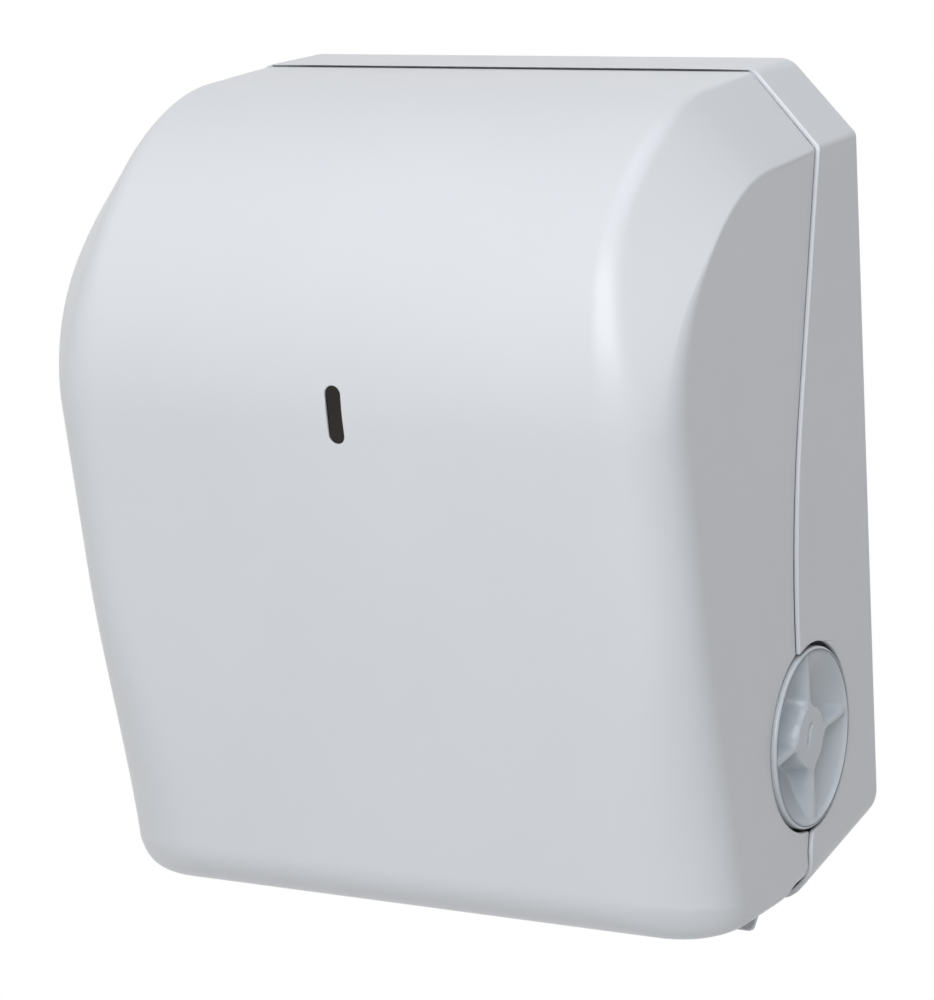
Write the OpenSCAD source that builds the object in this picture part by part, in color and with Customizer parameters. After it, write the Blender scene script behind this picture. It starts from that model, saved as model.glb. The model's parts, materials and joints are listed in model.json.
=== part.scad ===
// Wall dispenser for rolled paper towels that cuts each sheet by itself.
// Pulling the towel turns a drum; a knife inside the drum swings out and cuts.
// Origin: centre of the four wall screws, on the wall plane. Front is -Y, up is +Z.

/* [Body] */
// Width of the case over its rim
body_w = 330; // [316:1:350]
// Height of the case
body_h = 386; // [376:1:410]
// Wall thickness of the case and of the cover
wall = 2.5; // [2:0.1:3]
// Width of the top corner chamfer, seen from the front
chamfer_w = 32; // [24:1:40]
// Height of the top corner chamfer
chamfer_h = 35; // [26:1:42]
// Size of the chamfer on the case's lower corners, at the wall
foot_chamfer = 27; // [18:1:32]
// How much narrower each side of the case is at the wall
draft = 2.5; // [1:0.5:4]
// How far the case's rim stands proud of the cover
rim_proud = 1.5; // [1:0.1:2]
// Depth of the case at its top edge
top_depth = 46; // [40:1:50]
// Depth of the case beside the knob
seam_depth = 93; // [90:1:96]
// Depth of the case's floor
floor_depth = 83; // [80:1:84]
// Gap between the closed cover and the case
seam_gap = 1; // [0.6:0.1:1.5]

/* [Cover] */
// Radius of the cover's nose
nose_r = 121.5; // [116:0.5:125]
// Depth of the nose's axis from the wall
nose_depth = 98; // [94:1:102]
// Slope of the front face, from plumb
front_slope = 7.2; // [5:0.2:9]
// Slope of the cover's bottom, from level
bottom_slope = 2.6; // [2:0.2:5]
// Radius of the cover's lower front edge
chin_r = 29.5; // [22:0.5:34]
// Depth of the rounding along the front's upright edges
front_bevel = 28; // [22:1:32]
// Depth of the rounding at the front's lower corners
chin_bevel = 36; // [28:1:40]
// Height of the rounding on the case's lower corners
corner_h = 17; // [14:1:24]
// Width of the level window's slot
window_w = 8; // [6:0.5:10]
// Length of the level window's slot
window_l = 27; // [22:1:32]
// Depth of the window's centre below the roll's axis
window_drop = 16; // [10:1:24]
// Thickness of the window's lens
lens_t = 1.6; // [1.2:0.1:2]

/* [Hinge and lock] */
// Radius of the cover's hinge pins
hinge_r = 2.5; // [2:0.1:3]
// Radius of the lock's housing
lock_r = 8; // [7:0.5:9]
// Length of the lock's cam, from its axis
cam_reach = 28; // [26:0.5:29]
// Height of the lock above the middle of the case
lock_up = 0; // [-6:1:4]

/* [Drum] */
// Depth of the drum's axis from the wall
drum_depth = 79.5; // [78:0.5:82]
// Height of the drum's axis above the case's bottom
drum_up = 78; // [76:0.5:84]
// Radius of the drum, which sets the length of a sheet
drum_r = 40; // [38:0.5:41]
// Room at each end of the drum for a lever and a cam track
drum_room = 14; // [13.5:0.5:18]
// Wall thickness of the drum
drum_wall = 3; // [2.5:0.1:3.5]
// Radius of the drum's shaft
shaft_r = 5; // [4:0.1:5.5]
// Number of rubber grip bands round the drum
band_count = 5; // [3:1:6]
// Width of a grip band
band_w = 14; // [8:1:18]
// Radius of the feed knob
knob_r = 43; // [38:0.5:44]
// Gap round the feed knob
knob_gap = 2; // [1.5:0.1:3]
// How far the knob stands out of the side of the case
knob_proud = 3; // [1:0.5:5]

/* [Knife] */
// Angle that the knife swings out
knife_swing = 45; // [30:1:45]
// Thickness of the knife's blade
blade_t = 1.2; // [0.8:0.1:1.5]
// Number of teeth on the blade
tooth_count = 48; // [30:1:60]
// Height of a tooth
tooth_h = 3; // [2:0.5:4]
// Radius of the knife's pivot rod
pivot_r = 2.5; // [2:0.1:3]
// Radius of a cam roller
follower_r = 4; // [3:0.1:4.2]

/* [Frame] */
// Room between a side plate and the side of the case
side_room = 47; // [45:0.5:56]
// Thickness of a side plate
plate_t = 3; // [2.5:0.1:4]
// Radius of the tie rods
tie_r = 4; // [3:0.1:5]
// Radius of the pinch roller
pinch_r = 11; // [9:0.5:12]
// How much the pinch roller's sleeve is shorter than the drum, at each end
pinch_short = 4; // [2:0.5:14]
// Radius of the pinch roller's shaft
pinch_shaft_r = 4; // [3:0.1:4.5]
// How far the pinch roller can lift off the drum
pinch_lift = 4; // [2:0.5:5]

/* [Roll holder] */
// Room between the roll's end and a side plate's line, for an arm and a hub
roll_room = 10.5; // [10:0.5:15]
// Depth of the roll's axis from the wall
roll_depth = 107; // [102:1:112]
// Depth of the roll's axis below the case's top
roll_below = 116.5; // [112:0.5:122]
// Radius of a hub's nose, which carries the roll's core
core_r = 18.5; // [16:0.5:20]
// Radius of a hub's flange
hub_flange_r = 26; // [23:0.5:30]
// Radius of the arm's pivot pin
arm_pin_r = 3; // [2.5:0.1:3.5]

/* [Wall fixing] */
// Distance between the wall screws, across
screw_span_x = 180; // [160:1:190]
// Distance between the wall screws, up
screw_span_z = 340; // [336:1:344]
// Width of a wall screw's slot
slot_w = 6; // [5:0.5:7]
// Length of a wall screw's slot
slot_l = 12; // [9:0.5:16]

/* [Hidden] */
$fn = 64;

// Fits and small steps shared by many pieces
run_fit = 0.05;     // radial clearance of a turning pair
clear = 0.5;        // clearance between pieces that pass each other
past = 1;           // how far a cut runs past the face that it opens

// The body's outline
hw = body_w / 2;
top_z = body_h / 2;
bot_z = -body_h / 2;
case_front = seam_depth + 6;            // depth of the block that the case is cut from
back_wall = 3;                          // thickness of the wall against the wall plane
cover_hw = hw - rim_proud;              // half width of the cover
flat_hw = cover_hw - chamfer_w;         // half width of the flat of the cover's front
case_flat = flat_hw + rim_proud;        // half width of the flat of the case's top
top_fall = 1;                           // how much lower the case's top is at the wall
slice = 0.01;                           // thickness of an outline that a hull starts from
foot_round = 9;                         // rounding above the lower chamfer
crown_round = 5;                        // rounding of the top corners

// The cover's profile, in (y, z), by the angle of its outward normal from straight up
crown_a = 1;
front_a = 90 + front_slope;
chin_a = 180 - bottom_slope;
crown_z = top_z - rim_proud - nose_r - (nose_depth - top_depth) * tan(crown_a);
roll_y = -roll_depth;
roll_z = top_z - roll_below;
hinge_out = 11;                         // from the floor's front edge to the hinge's axis
hinge_up = 10;
hinge_y = -floor_depth - hinge_out;
hinge_z = bot_z + hinge_up;
cover_foot_y = -seam_depth + 2;         // back edge of the cover near its hinge
nose_steps = 24;
chin_steps = 8;
edge_steps = 6;
soft_from = 46;                         // the side edges are plain chamfers up to here
soft_to = 101;                          // and fully round from here

function normal(a) = [-sin(a), cos(a)];
function ramp(x, lo, hi) = let (t = max(0, min(1, (x - lo) / (hi - lo)))) t * t * (3 - 2 * t);
function mix(a, b, t) = a + (b - a) * t;
function nose(a) = [-nose_depth, crown_z] + nose_r * normal(a);
// The point where two lines with these normals and offsets from the origin meet
function meet(n1, k1, n2, k2) = let (det = n1.x * n2.y - n1.y * n2.x)
    [(k1 * n2.y - n1.y * k2) / det, (n1.x * k2 - k1 * n2.x) / det];
chin_foot = [cover_foot_y, bot_z + rim_proud];
chin_c = meet(normal(front_a), normal(front_a) * nose(front_a) - chin_r,
              normal(chin_a), normal(chin_a) * chin_foot - chin_r);
function crown_at(y) = nose(crown_a).y + (y - nose(crown_a).x) * tan(crown_a);
function chin_at(y) = chin_foot.y + (chin_foot.x - y) * tan(bottom_slope);
function front_at(z) = nose(front_a).x + (nose(front_a).y - z) * tan(front_slope);
crown_back_y = -top_depth + 20;
chin_back_y = -floor_depth + 20;
// Each station is [y, z, angle of its normal, depth of the side edge there]
stations = concat(
    [[crown_back_y, crown_at(crown_back_y), crown_a, chamfer_h]],
    [for (i = [0 : nose_steps]) let (a = mix(crown_a, front_a, i / nose_steps), p = nose(a))
        [p.x, p.y, a, mix(chamfer_h, front_bevel, ramp(a, soft_from, front_a))]],
    [for (i = [0 : chin_steps])
        let (a = mix(front_a, chin_a, i / chin_steps), p = chin_c + chin_r * normal(a)) [p.x, p.y, a, chin_bevel]],
    [[chin_back_y, chin_at(chin_back_y), chin_a, corner_h]]);
// How far in the side edge is at a share u of its width
function edge_inset(u, s) = s[3] * mix(u, 1 - sqrt(max(0, 1 - u * u)), ramp(s.z, soft_from, soft_to));

// The seam: front edge of the case, in (y, z), from top to bottom
shoulder_z = top_z - chamfer_h;
seam_bow_z = -64;                       // the seam is plumb here
seam_lean = 15;                         // its lean from plumb above the bow
seam_shoulder_y = -top_depth - 2.3;
bow_steps = 8;
// The bow is an arc that ends plumb and starts on the leaning line from the shoulder
bow_r = (seam_depth + seam_shoulder_y - (shoulder_z - seam_bow_z) * tan(seam_lean)) /
        (1 - cos(seam_lean) - sin(seam_lean) * tan(seam_lean));
function bow(a) = [-seam_depth + bow_r * (1 - cos(a)), seam_bow_z + bow_r * sin(a)];
seam_foot_z = bot_z + 28;
seam_foot_y = -seam_depth + 3;
floor_turn_z = bot_z + 15;
seam = concat(
    [[-top_depth, top_z], [seam_shoulder_y, shoulder_z]],
    [for (i = [0 : bow_steps]) bow(seam_lean * (1 - i / bow_steps))],
    [[seam_foot_y, seam_foot_z], [-floor_depth, floor_turn_z], [-floor_depth, bot_z]]);
cover_seam = concat(
    [for (i = [0 : len(seam) - 4]) seam[i] - [seam_gap, 0]],
    [[cover_foot_y, seam_foot_z], [cover_foot_y, bot_z]]);

// The drum and what sits on its axis, at the knob's side first
drum_y = -drum_depth;
drum_z = bot_z + drum_up;
plate_x = hw - side_room;               // inner face of a side plate
drum_hl = plate_x - drum_room;          // half length of the drum
plate_out = plate_x + plate_t;
end_t = 6;                              // thickness of a drum end
band_depth = 1;
band_proud = 0.15;
bush_r = 9;
bush_flange_r = 12;
bush_flange_t = 2.5;
bush_in = plate_x - 5;
crank_x = plate_out + bush_flange_t + clear;    // near face of the crank disc, on the left
crank_t = 5;
crank_r = 20;
crank_throw = 14;
crank_pin_r = 3;
spring_x = crank_x + crank_t + 7;       // plane of the return spring, on the left
stud_head_r = 5;
stud_head_t = 2;
stud_l = 13;
post_drop = 45;
post_y = -27;
post_z = drum_z - post_drop;
knob_face = hw + knob_proud;
knob_t = 14;                            // depth of the knob's rim
knob_hub_r = 11;
knob_hub_l = 12;
knob_hub_x = knob_face - knob_t - knob_hub_l;
knob_pin_r = 1.5;
knob_pin_x = knob_hub_x + 5;
shaft_left = crank_x + crank_t;
shaft_right = knob_face - knob_t + 4;

// The knife, in (p, q) about the drum's axis: p to the front, q down, at rest
slot_end = drum_hl - end_t;             // half length of the drum's slot
slot_up = 24.5;                         // the slot's edges above and below the axis
slot_down = 8;
hinge_pq = [20, -23];
tip_pq = [34, 5];
knife_hl = slot_end - 2;
holder_t = 4;
holder_l = 22;
holder_hub_r = 4.8;
blade_from = 8;
lever_pq = [-15.5, -5.5];               // from the pivot to the cam roller
lever_x = drum_hl + 1.5;
lever_t = 3.5;
lever_w = 9;
knife_l = norm(tip_pq - hinge_pq);
knife_a = atan2(tip_pq.y - hinge_pq.y, tip_pq.x - hinge_pq.x);
follower_pq = hinge_pq + lever_pq;
follower_path = norm(follower_pq);      // radius of the roller's path while the knife is in
// The roller's reach to the axis while the knife is out
function turn(v, a) = [v.x * cos(a) - v.y * sin(a), v.x * sin(a) + v.y * cos(a)];
follower_in = norm(hinge_pq + turn(lever_pq, -knife_swing));
track_gap = 0.9;
track_wall = 4;
track_r = follower_path + follower_r + track_gap;   // inner radius of the track's rim
track_base = 3.5;
track_x = lever_x + lever_t + clear;
island_r = follower_path - follower_r - track_gap;
island_low_r = follower_in - follower_r - track_gap;
bush_clear_r = bush_r + 0.3;

// The pinch roller, on a slide that leans back from the drum
pinch_a = 45;
nip = 0.3;                              // room for the towel between drum and roller
pinch_hl = drum_hl - pinch_short;        // half length of the sleeve
pinch_s = drum_r + pinch_r + nip;
block = 12;
block_x = plate_x - 3;
block_proud = 10;
block_out = plate_out + block_proud;
seat_gap = 15;
seat_s = pinch_s + block / 2 + seat_gap;      // where the springs' seats begin
seat_t = 2.5;
pinch_spring_x = plate_out + block_proud / 2;

// The roll's arms and hubs
roll_hw = plate_x - roll_room;          // half width of the widest roll
arm_gap = 1.5;
hub_t = 3;
arm_x = roll_hw + hub_t + arm_gap;      // inner face of an arm
arm_t = 3;
arm_pin_y = -14;
arm_pin_out = 4;
arm_pin_x = arm_x + arm_pin_out;
arm_end_r = 16;
arm_root_h = 40;
knuckle_r = 6;
knuckle_h = 15;
knuckle_gap = 5;                        // half the room between the knuckles, for the spring
ear_t = 6;
ear_gap = 1;
hub_nose_l = 13;
axle_r = 5;
axle_head_r = 8;
axle_head_t = 2;
axle_in = roll_hw - hub_nose_l - 1;
clip_t = 1.5;
clip_r = 7.5;
axle_end = 1.5;                         // how far an axle runs past its clip
pin_end = 2;                            // how far an arm's pin runs past its ears

// Screws: radius of shank, radius and height of head
screw_r = 1.75;
screw_head_r = 4;
screw_head_h = 2.5;
screw_l = 6;
screw_bore = screw_l + 2;
boss_r = 5.5;
boss_y = -12;                           // where the frame's flanges rest on the bosses
flange_w = 16;
flange_h = 26;
flange_reach = 53;                      // from the drum's axis up or down to a flange
flange_screw_x = plate_x + 9;
flange_screw_z = [drum_z + flange_reach, drum_z - flange_reach];

// The exit lip under the drum
lip_t = 2.5;
lip_run = 33;                           // level part of the lip, on the case's floor
lip_over = 3;                           // how far the level part runs past the floor
lip_out = 9;                            // how far the sloping part comes forward
lip_drop = 16;                          // how far it hangs below the case
lip_turn_y = -floor_depth - lip_over;
lip_back_y = lip_turn_y + lip_run + lip_over;
lip_tip = [lip_turn_y - lip_out, bot_z - lip_drop];
lip_screw_y = (lip_back_y + lip_turn_y) / 2;
lip_screw_x = plate_x - 28;
lip_screws = [-lip_screw_x, 0, lip_screw_x];
ear_in = 4;
ear_w = 5;
ear_gap_x = 1;
ear_x = flat_hw + ear_in;               // the case's hinge ears, then the cover's webs
lip_hw = ear_x - 3;
exit_hw = ear_x + ear_w + ear_gap_x / 2;   // half width of the cut in the cover's bottom
exit_l = 32;
exit_front_y = hinge_y - exit_l;
web_x = ear_x + ear_w + ear_gap_x;
web_w = 4;
web_r = 6;
web_front_y = exit_front_y - 6;
ear_root = 12;                          // how far an ear stands on the floor

// The lock, in the left wall
lock_y = -58;
lock_z = lock_up;
lock_out = hw + 1.5;
lock_flange_r = lock_r + 2.5;
lock_flange_t = 2;
lock_in = hw - 12;
plug_r = 5;
plug_stem_r = 3;                        // the plug's thin end, which carries the cam
nut_t = 4;
nut_r = 5.5;
ring_nut_t = 3;
keyway = [1.4, 7, 3];                   // the key slot's width, length and depth
cam_x = hw - 17;                        // inner face of the cam
cam_t = 3.5;
cam_w = 10;
strike_gap = 2;
strike_t = 5;

module along_x(x0, x1) {
    translate([x0, 0, 0]) rotate([90, 0, 90]) linear_extrude(x1 - x0) children();
}
module rod_x(r, x0, x1, y = 0, z = 0) {
    translate([x0, y, z]) rotate([0, 90, 0]) cylinder(r = r, h = x1 - x0);
}
module on_drum() {
    translate([0, drum_y, drum_z]) children();
}
// side is 1 for the right of the dispenser and -1 for the left
module sided(side) {
    mirror([side < 0 ? 1 : 0, 0, 0]) children();
}

// An outline with rounded corners, from [x, y, radius] vertices
function unit(v) = v / norm(v);
function corner(a, p, b, r, steps) = r <= 0 ? [p] : let (
    u = unit(a - p), v = unit(b - p), half = acos(u * v) / 2,
    c = p + unit(u + v) * (r / sin(half)),
    s = p + u * (r / tan(half)) - c, e = p + v * (r / tan(half)) - c,
    a0 = atan2(s.y, s.x), sweep = ((atan2(e.y, e.x) - a0 + 540) % 360) - 180)
    [for (i = [0 : steps]) c + r * [cos(a0 + sweep * i / steps), sin(a0 + sweep * i / steps)]];
function rounded(v, steps = 6) = let (n = len(v)) [for (i = [0 : n - 1])
    let (a = v[(i + n - 1) % n], p = v[i], b = v[(i + 1) % n])
    each corner([a.x, a.y], [p.x, p.y], [b.x, b.y], p.z, steps)];
function mirrored(v) = concat(v, [for (i = [len(v) - 1 : -1 : 0]) [-v[i].x, v[i].y, v[i].z]]);

// Coil springs: one wire swept along points [radius, angle, height] about Z
wire_sides = 6;
ring_step = 45;
function coil_point(c) = [c.x * cos(c.y), c.x * sin(c.y), c.z];
function wire_ring(c, before, after, r) = let (
    t = unit(coil_point(after) - coil_point(before)),
    e = [cos(c.y), sin(c.y), 0], u = unit(e - (e * t) * t), v = cross(t, u))
    [for (k = [0 : wire_sides - 1]) let (w = 360 * k / wire_sides)
        coil_point(c) + r * (cos(w) * u + sin(w) * v)];
module wire(path, r) {
    n = len(path);
    points = [for (i = [0 : n - 1]) each wire_ring(path[i], path[max(0, i - 1)], path[min(n - 1, i + 1)], r)];
    sides = [for (i = [0 : n - 2]) for (k = [0 : wire_sides - 1]) let (
        a = i * wire_sides + k, b = i * wire_sides + (k + 1) % wire_sides)
        each [[a, b, a + wire_sides], [b, b + wire_sides, a + wire_sides]]];
    caps = [for (k = [1 : wire_sides - 2]) each [
        [0, k + 1, k],
        [(n - 1) * wire_sides, (n - 1) * wire_sides + k, (n - 1) * wire_sides + k + 1]]];
    polyhedron(points, concat(sides, caps));
}
function coil(r, turns, pitch, z0, a0 = 0) = [for (i = [0 : turns * 360 / ring_step])
    [r, a0 + i * ring_step, z0 + pitch * i * ring_step / 360]];
// The least gap between neighbouring turns of a coil
function coil_gap(r, pitch, wire_r) = min([for (i = [-8 : 8]) let (a = i * ring_step / 8)
    norm([r * cos(a) - r, r * sin(a), pitch * (1 + a / 360)])]) - 2 * wire_r;

return_wire = 0.7;
return_coil_r = 5;
return_turns = 16;
return_pitch = 2.4;
post_reach = [post_y - drum_y, post_z - drum_z];
return_l = norm(post_reach) - crank_throw - 2 * crank_pin_r;
return_a = atan2(post_reach.y, post_reach.x);
pinch_wire = 0.5;
pinch_coil_r = 3.5;
pinch_turns = 6;
pinch_spring_l = seat_s - pinch_s - block / 2;
pinch_pitch = (pinch_spring_l - 2 * pinch_wire - 0.2) / pinch_turns;
arm_wire = 0.6;
arm_coil_r = arm_pin_r + 1.6;
arm_turns = 4;
arm_pitch = 1.8;
echo(return_spring_gap = coil_gap(return_coil_r, return_pitch, return_wire),
     pinch_spring_gap = coil_gap(pinch_coil_r, pinch_pitch, pinch_wire),
     arm_spring_gap = coil_gap(arm_coil_r, arm_pitch, arm_wire));

// Case

function case_outline(half, top, bottom, flat, square_foot) = mirrored([
    [flat, top, crown_round],
    [half, top - (half - flat) * chamfer_h / chamfer_w, crown_round],
    if (square_foot) [half, bottom + foot_chamfer, foot_round],
    if (square_foot) [half - foot_chamfer, bottom, crown_round],
    if (!square_foot) [half, bottom, corner_h]]);
module case_block(inset) {
    hull() {
        translate([0, -inset, 0]) rotate([90, 0, 0]) linear_extrude(slice)
            polygon(rounded(case_outline(hw - draft - inset, top_z - top_fall - inset, bot_z + inset,
                                         case_flat - draft - inset / 2, true)));
        translate([0, -case_front, 0]) rotate([90, 0, 0]) linear_extrude(slice)
            polygon(rounded(case_outline(hw - inset, top_z - inset, bot_z + inset,
                                         case_flat - inset / 2, false)));
    }
}
module slot_hole() {
    for (s = [-1, 1])
        translate([s * (slot_l - slot_w) / 2, past, 0]) rotate([90, 0, 0])
            cylinder(d = slot_w, h = back_wall + 2 * past);
    translate([-(slot_l - slot_w) / 2, -back_wall - past, -slot_w / 2])
        cube([slot_l - slot_w, back_wall + 2 * past, slot_w]);
}
module knob_hole() {
    on_drum() rod_x(knob_r + knob_gap, plate_out + 20, hw + 2 * past);
}
module frame_boss(z) {
    translate([flange_screw_x, -back_wall + past, z]) rotate([90, 0, 0]) difference() {
        cylinder(r = boss_r, h = -boss_y - back_wall + past);
        translate([0, 0, past]) cylinder(r = screw_r, h = -boss_y);
    }
}
arm_ear_z = roll_z - knuckle_h - knuckle_gap - ear_gap - ear_t;
module arm_ear(z) {
    difference() {
        translate([arm_pin_x - knuckle_r, arm_pin_y - knuckle_r, z])
            cube([2 * knuckle_r, -arm_pin_y + knuckle_r - back_wall + past, ear_t]);
        translate([arm_pin_x, arm_pin_y, z - past]) cylinder(r = arm_pin_r, h = ear_t + 2 * past);
    }
}
module hinge_ear() {
    difference() {
        union() {
            rod_x(web_r - 1, ear_x, ear_x + ear_w, hinge_y, hinge_z);
            translate([ear_x, hinge_y, bot_z + wall - 0.5])
                cube([ear_w, hinge_out + ear_root, hinge_z + web_r - 1 - bot_z - wall + 0.5]);
        }
        rod_x(hinge_r, ear_x - past, ear_x + ear_w + past, hinge_y, hinge_z);
    }
}
module rear_case() color("whitesmoke") {
    difference() {
        case_block(0);
        difference() {
            case_block(wall);
            translate([-hw, -back_wall, bot_z]) cube([body_w, back_wall + past, body_h]);
        }
        along_x(-hw - 20, hw + 20) polygon(concat(
            [[-2 * case_front, top_z + 20], [-top_depth, top_z + 20]], seam,
            [[-floor_depth, bot_z - 20], [-2 * case_front, bot_z - 20]]));
        knob_hole();
        rod_x(lock_r, -hw - past, -hw + 20, lock_y, lock_z);
        for (x = [-1, 1], z = [-1, 1])
            translate([x * screw_span_x / 2, 0, z * screw_span_z / 2]) slot_hole();
        for (x = lip_screws)
            translate([x, lip_screw_y, bot_z - past]) cylinder(r = screw_r, h = wall + 2 * past);
    }
    for (s = [-1, 1]) sided(s) {
        for (z = flange_screw_z) frame_boss(z);
        arm_ear(arm_ear_z);
        arm_ear(2 * roll_z - arm_ear_z - ear_t);
        hinge_ear();
    }
}

// Cover

module cover_block(inset) {
    hull() for (k = [0 : edge_steps]) {
        u = sin(90 * k / edge_steps);
        half = flat_hw + chamfer_w * u - inset;
        along_x(-half, half)
            polygon([for (s = stations) [s.x, s.y] - (edge_inset(u, s) + inset) * normal(s.z)]);
    }
}
window_z = roll_z - window_drop;
module window_shape(grow) {
    // An upright slot, cut along Y
    h = window_l - window_w;
    translate([0, 0, window_z]) rotate([90, 0, 0]) linear_extrude(3 * nose_r) {
        for (s = [-1, 1]) translate([0, s * h / 2]) circle(d = window_w + 2 * grow);
        translate([-window_w / 2 - grow, -h / 2]) square([window_w + 2 * grow, h]);
    }
}
module hinge_web() {
    difference() {
        union() {
            rod_x(web_r, web_x, web_x + web_w, hinge_y, hinge_z);
            translate([web_x, web_front_y, bot_z])
                cube([web_w, hinge_y - web_front_y, hinge_z + web_r - bot_z]);
        }
        rod_x(hinge_r + run_fit, web_x - past, web_x + web_w + past, hinge_y, hinge_z);
    }
}
// The hook on the left of the cover that the lock's cam holds
hook_y = lock_y + cam_w / 2 + strike_gap;
hook_z = lock_z + cam_reach + 3;
hook_drop = 15;
hook_root = 18;                         // how far in front of the seam the hook starts
hook_in = 1.5;
module lock_strike() {
    anchor_y = cover_seam[4].x;
    translate([-cam_x - strike_t + hook_in, hook_y, hook_z - hook_drop])
        cube([strike_t, strike_t, hook_drop + strike_t]);
    translate([-cam_x - strike_t + hook_in, anchor_y - hook_root, hook_z])
        cube([strike_t, hook_y - anchor_y + hook_root + past, strike_t]);
    translate([-cover_hw + past, anchor_y - hook_root, hook_z])
        cube([cover_hw - cam_x, hook_root / 2, strike_t]);
}
module front_cover() color("whitesmoke") {
    difference() {
        cover_block(0);
        cover_block(wall);
        along_x(-hw - 20, hw + 20) polygon(concat(
            [[back_wall + 20, top_z + 20], [cover_seam[0].x, top_z + 20]], cover_seam,
            [[cover_foot_y, bot_z - 20], [back_wall + 20, bot_z - 20]]));
        knob_hole();
        window_shape(0);
        translate([-exit_hw, exit_front_y, bot_z - 20]) cube([2 * exit_hw, -exit_front_y, 40]);
    }
    intersection() {
        cover_block(0);
        union() {
            for (s = [-1, 1]) sided(s) hinge_web();
            lock_strike();
        }
    }
}
module level_window() color("dimgray") {
    // The smoked lens fills the slot from inside and stops short of the front
    intersection() {
        window_shape(-0.1);
        difference() {
            cover_block(wall - lens_t);
            cover_block(wall + 0.2);
        }
    }
}
module hinge_pins() color("silver") {
    for (s = [-1, 1]) sided(s) rod_x(hinge_r, ear_x - 1, web_x + web_w, hinge_y, hinge_z);
}

// Exit lip

lip_floor = bot_z + wall;
lip_dir = unit(lip_tip - [lip_turn_y, lip_floor]);
module exit_lip() color("whitesmoke") {
    side = lip_t * [lip_dir.y, -lip_dir.x];
    bend = lip_t * tan(atan2(-lip_dir.y, -lip_dir.x) / 2);
    difference() {
        along_x(-lip_hw, lip_hw) polygon([
            [lip_back_y, lip_floor], [lip_turn_y, lip_floor], lip_tip, lip_tip + side,
            [lip_turn_y - bend, lip_floor + lip_t], [lip_back_y, lip_floor + lip_t]]);
        for (x = lip_screws)
            translate([x, lip_screw_y, bot_z]) cylinder(r = screw_r, h = wall + 2 * lip_t);
    }
}
module screw() {
    // Head up from z = 0, shank down
    cylinder(r = screw_head_r, h = screw_head_h);
    translate([0, 0, -screw_l]) cylinder(r = screw_r, h = screw_l + past / 2);
}
module exit_lip_screws() color("silver") {
    for (x = lip_screws)
        translate([x, lip_screw_y, lip_floor + lip_t]) {
            cylinder(r = screw_head_r, h = screw_head_h);
            translate([0, 0, -wall - lip_t]) cylinder(r = screw_r, h = wall + lip_t + past / 2);
        }
}

// Lock

module lock_housing() color("silver") sided(-1) difference() {
    union() {
        rod_x(lock_r, lock_in, lock_out, lock_y, lock_z);
        rod_x(lock_flange_r, lock_out - 1, lock_out + lock_flange_t, lock_y, lock_z);
    }
    rod_x(plug_r + run_fit, lock_in - past, lock_out + lock_flange_t + past, lock_y, lock_z);
}
module lock_ring_nut() color("silver") sided(-1) difference() {
    rod_x(lock_r + ring_nut_t, lock_in + ring_nut_t, lock_in + 2 * ring_nut_t, lock_y, lock_z, $fn = 6);
    rod_x(lock_r, lock_in, lock_in + 3 * ring_nut_t, lock_y, lock_z);
}
module lock_plug() color("silver") sided(-1) difference() {
    union() {
        rod_x(plug_r, cam_x + cam_t, lock_out + lock_flange_t + 0.4, lock_y, lock_z);
        rod_x(plug_stem_r, cam_x - nut_t - past, cam_x + cam_t + past, lock_y, lock_z);
    }
    translate([lock_out + lock_flange_t + past - keyway.z, lock_y - keyway.y / 2, lock_z - keyway.x / 2])
        cube([keyway.z, keyway.y, keyway.x]);
}
module lock_cam() color("silver") sided(-1) difference() {
    // At rest the cam points to the front, clear of the cover's hook
    union() {
        rod_x(cam_w / 2 + strike_gap, cam_x, cam_x + cam_t, lock_y, lock_z);
        translate([cam_x, lock_y - cam_reach, lock_z - cam_w / 2]) cube([cam_t, cam_reach, cam_w]);
    }
    rod_x(plug_stem_r, cam_x - past, cam_x + cam_t + past, lock_y, lock_z);
}
module lock_cam_nut() color("silver") sided(-1) difference() {
    rod_x(nut_r, cam_x - nut_t, cam_x, lock_y, lock_z, $fn = 6);
    rod_x(plug_stem_r, cam_x - nut_t - past, cam_x + past, lock_y, lock_z);
}

// Frame

tie_back_y = -22;
tie_back_drop = 35;
tie_top_back = 9;
tie_top_up = 58;
tie_front_out = 41;
tie_front_up = 45;
ties = [[tie_back_y, drum_z - tie_back_drop], [drum_y + tie_top_back, drum_z + tie_top_up],
        [drum_y - tie_front_out, drum_z + tie_front_up]];
tie_edge = 8;                           // plate left round a tie rod's screw
plate_waist = 32;                       // from the drum's axis to the plate's front, below the nose
waist_low = 34;
waist_up = 14;
plate_round = 8;
plate_bottom = drum_z - flange_reach - flange_h / 2;
plate_top = drum_z + tie_top_up + tie_edge;
nose_y = drum_y - tie_front_out - tie_edge;
plate_outline = rounded([
    [boss_y, plate_bottom, plate_round / 2], [boss_y, plate_top, plate_round / 2],
    [drum_y + tie_top_back, plate_top + 1, plate_round],
    [nose_y, drum_z + tie_front_up + tie_edge, plate_round],
    [nose_y, drum_z + tie_front_up - tie_edge, plate_round],
    [drum_y - plate_waist, drum_z + waist_up, plate_round],
    [drum_y - plate_waist, drum_z - waist_low, plate_round],
    [drum_y - plate_round, plate_bottom, plate_round]]);
module pinch_frame() {
    // X' runs away from the drum along the slide, Z' across it
    on_drum() rotate([pinch_a, 0, 0]) children();
}
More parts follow.
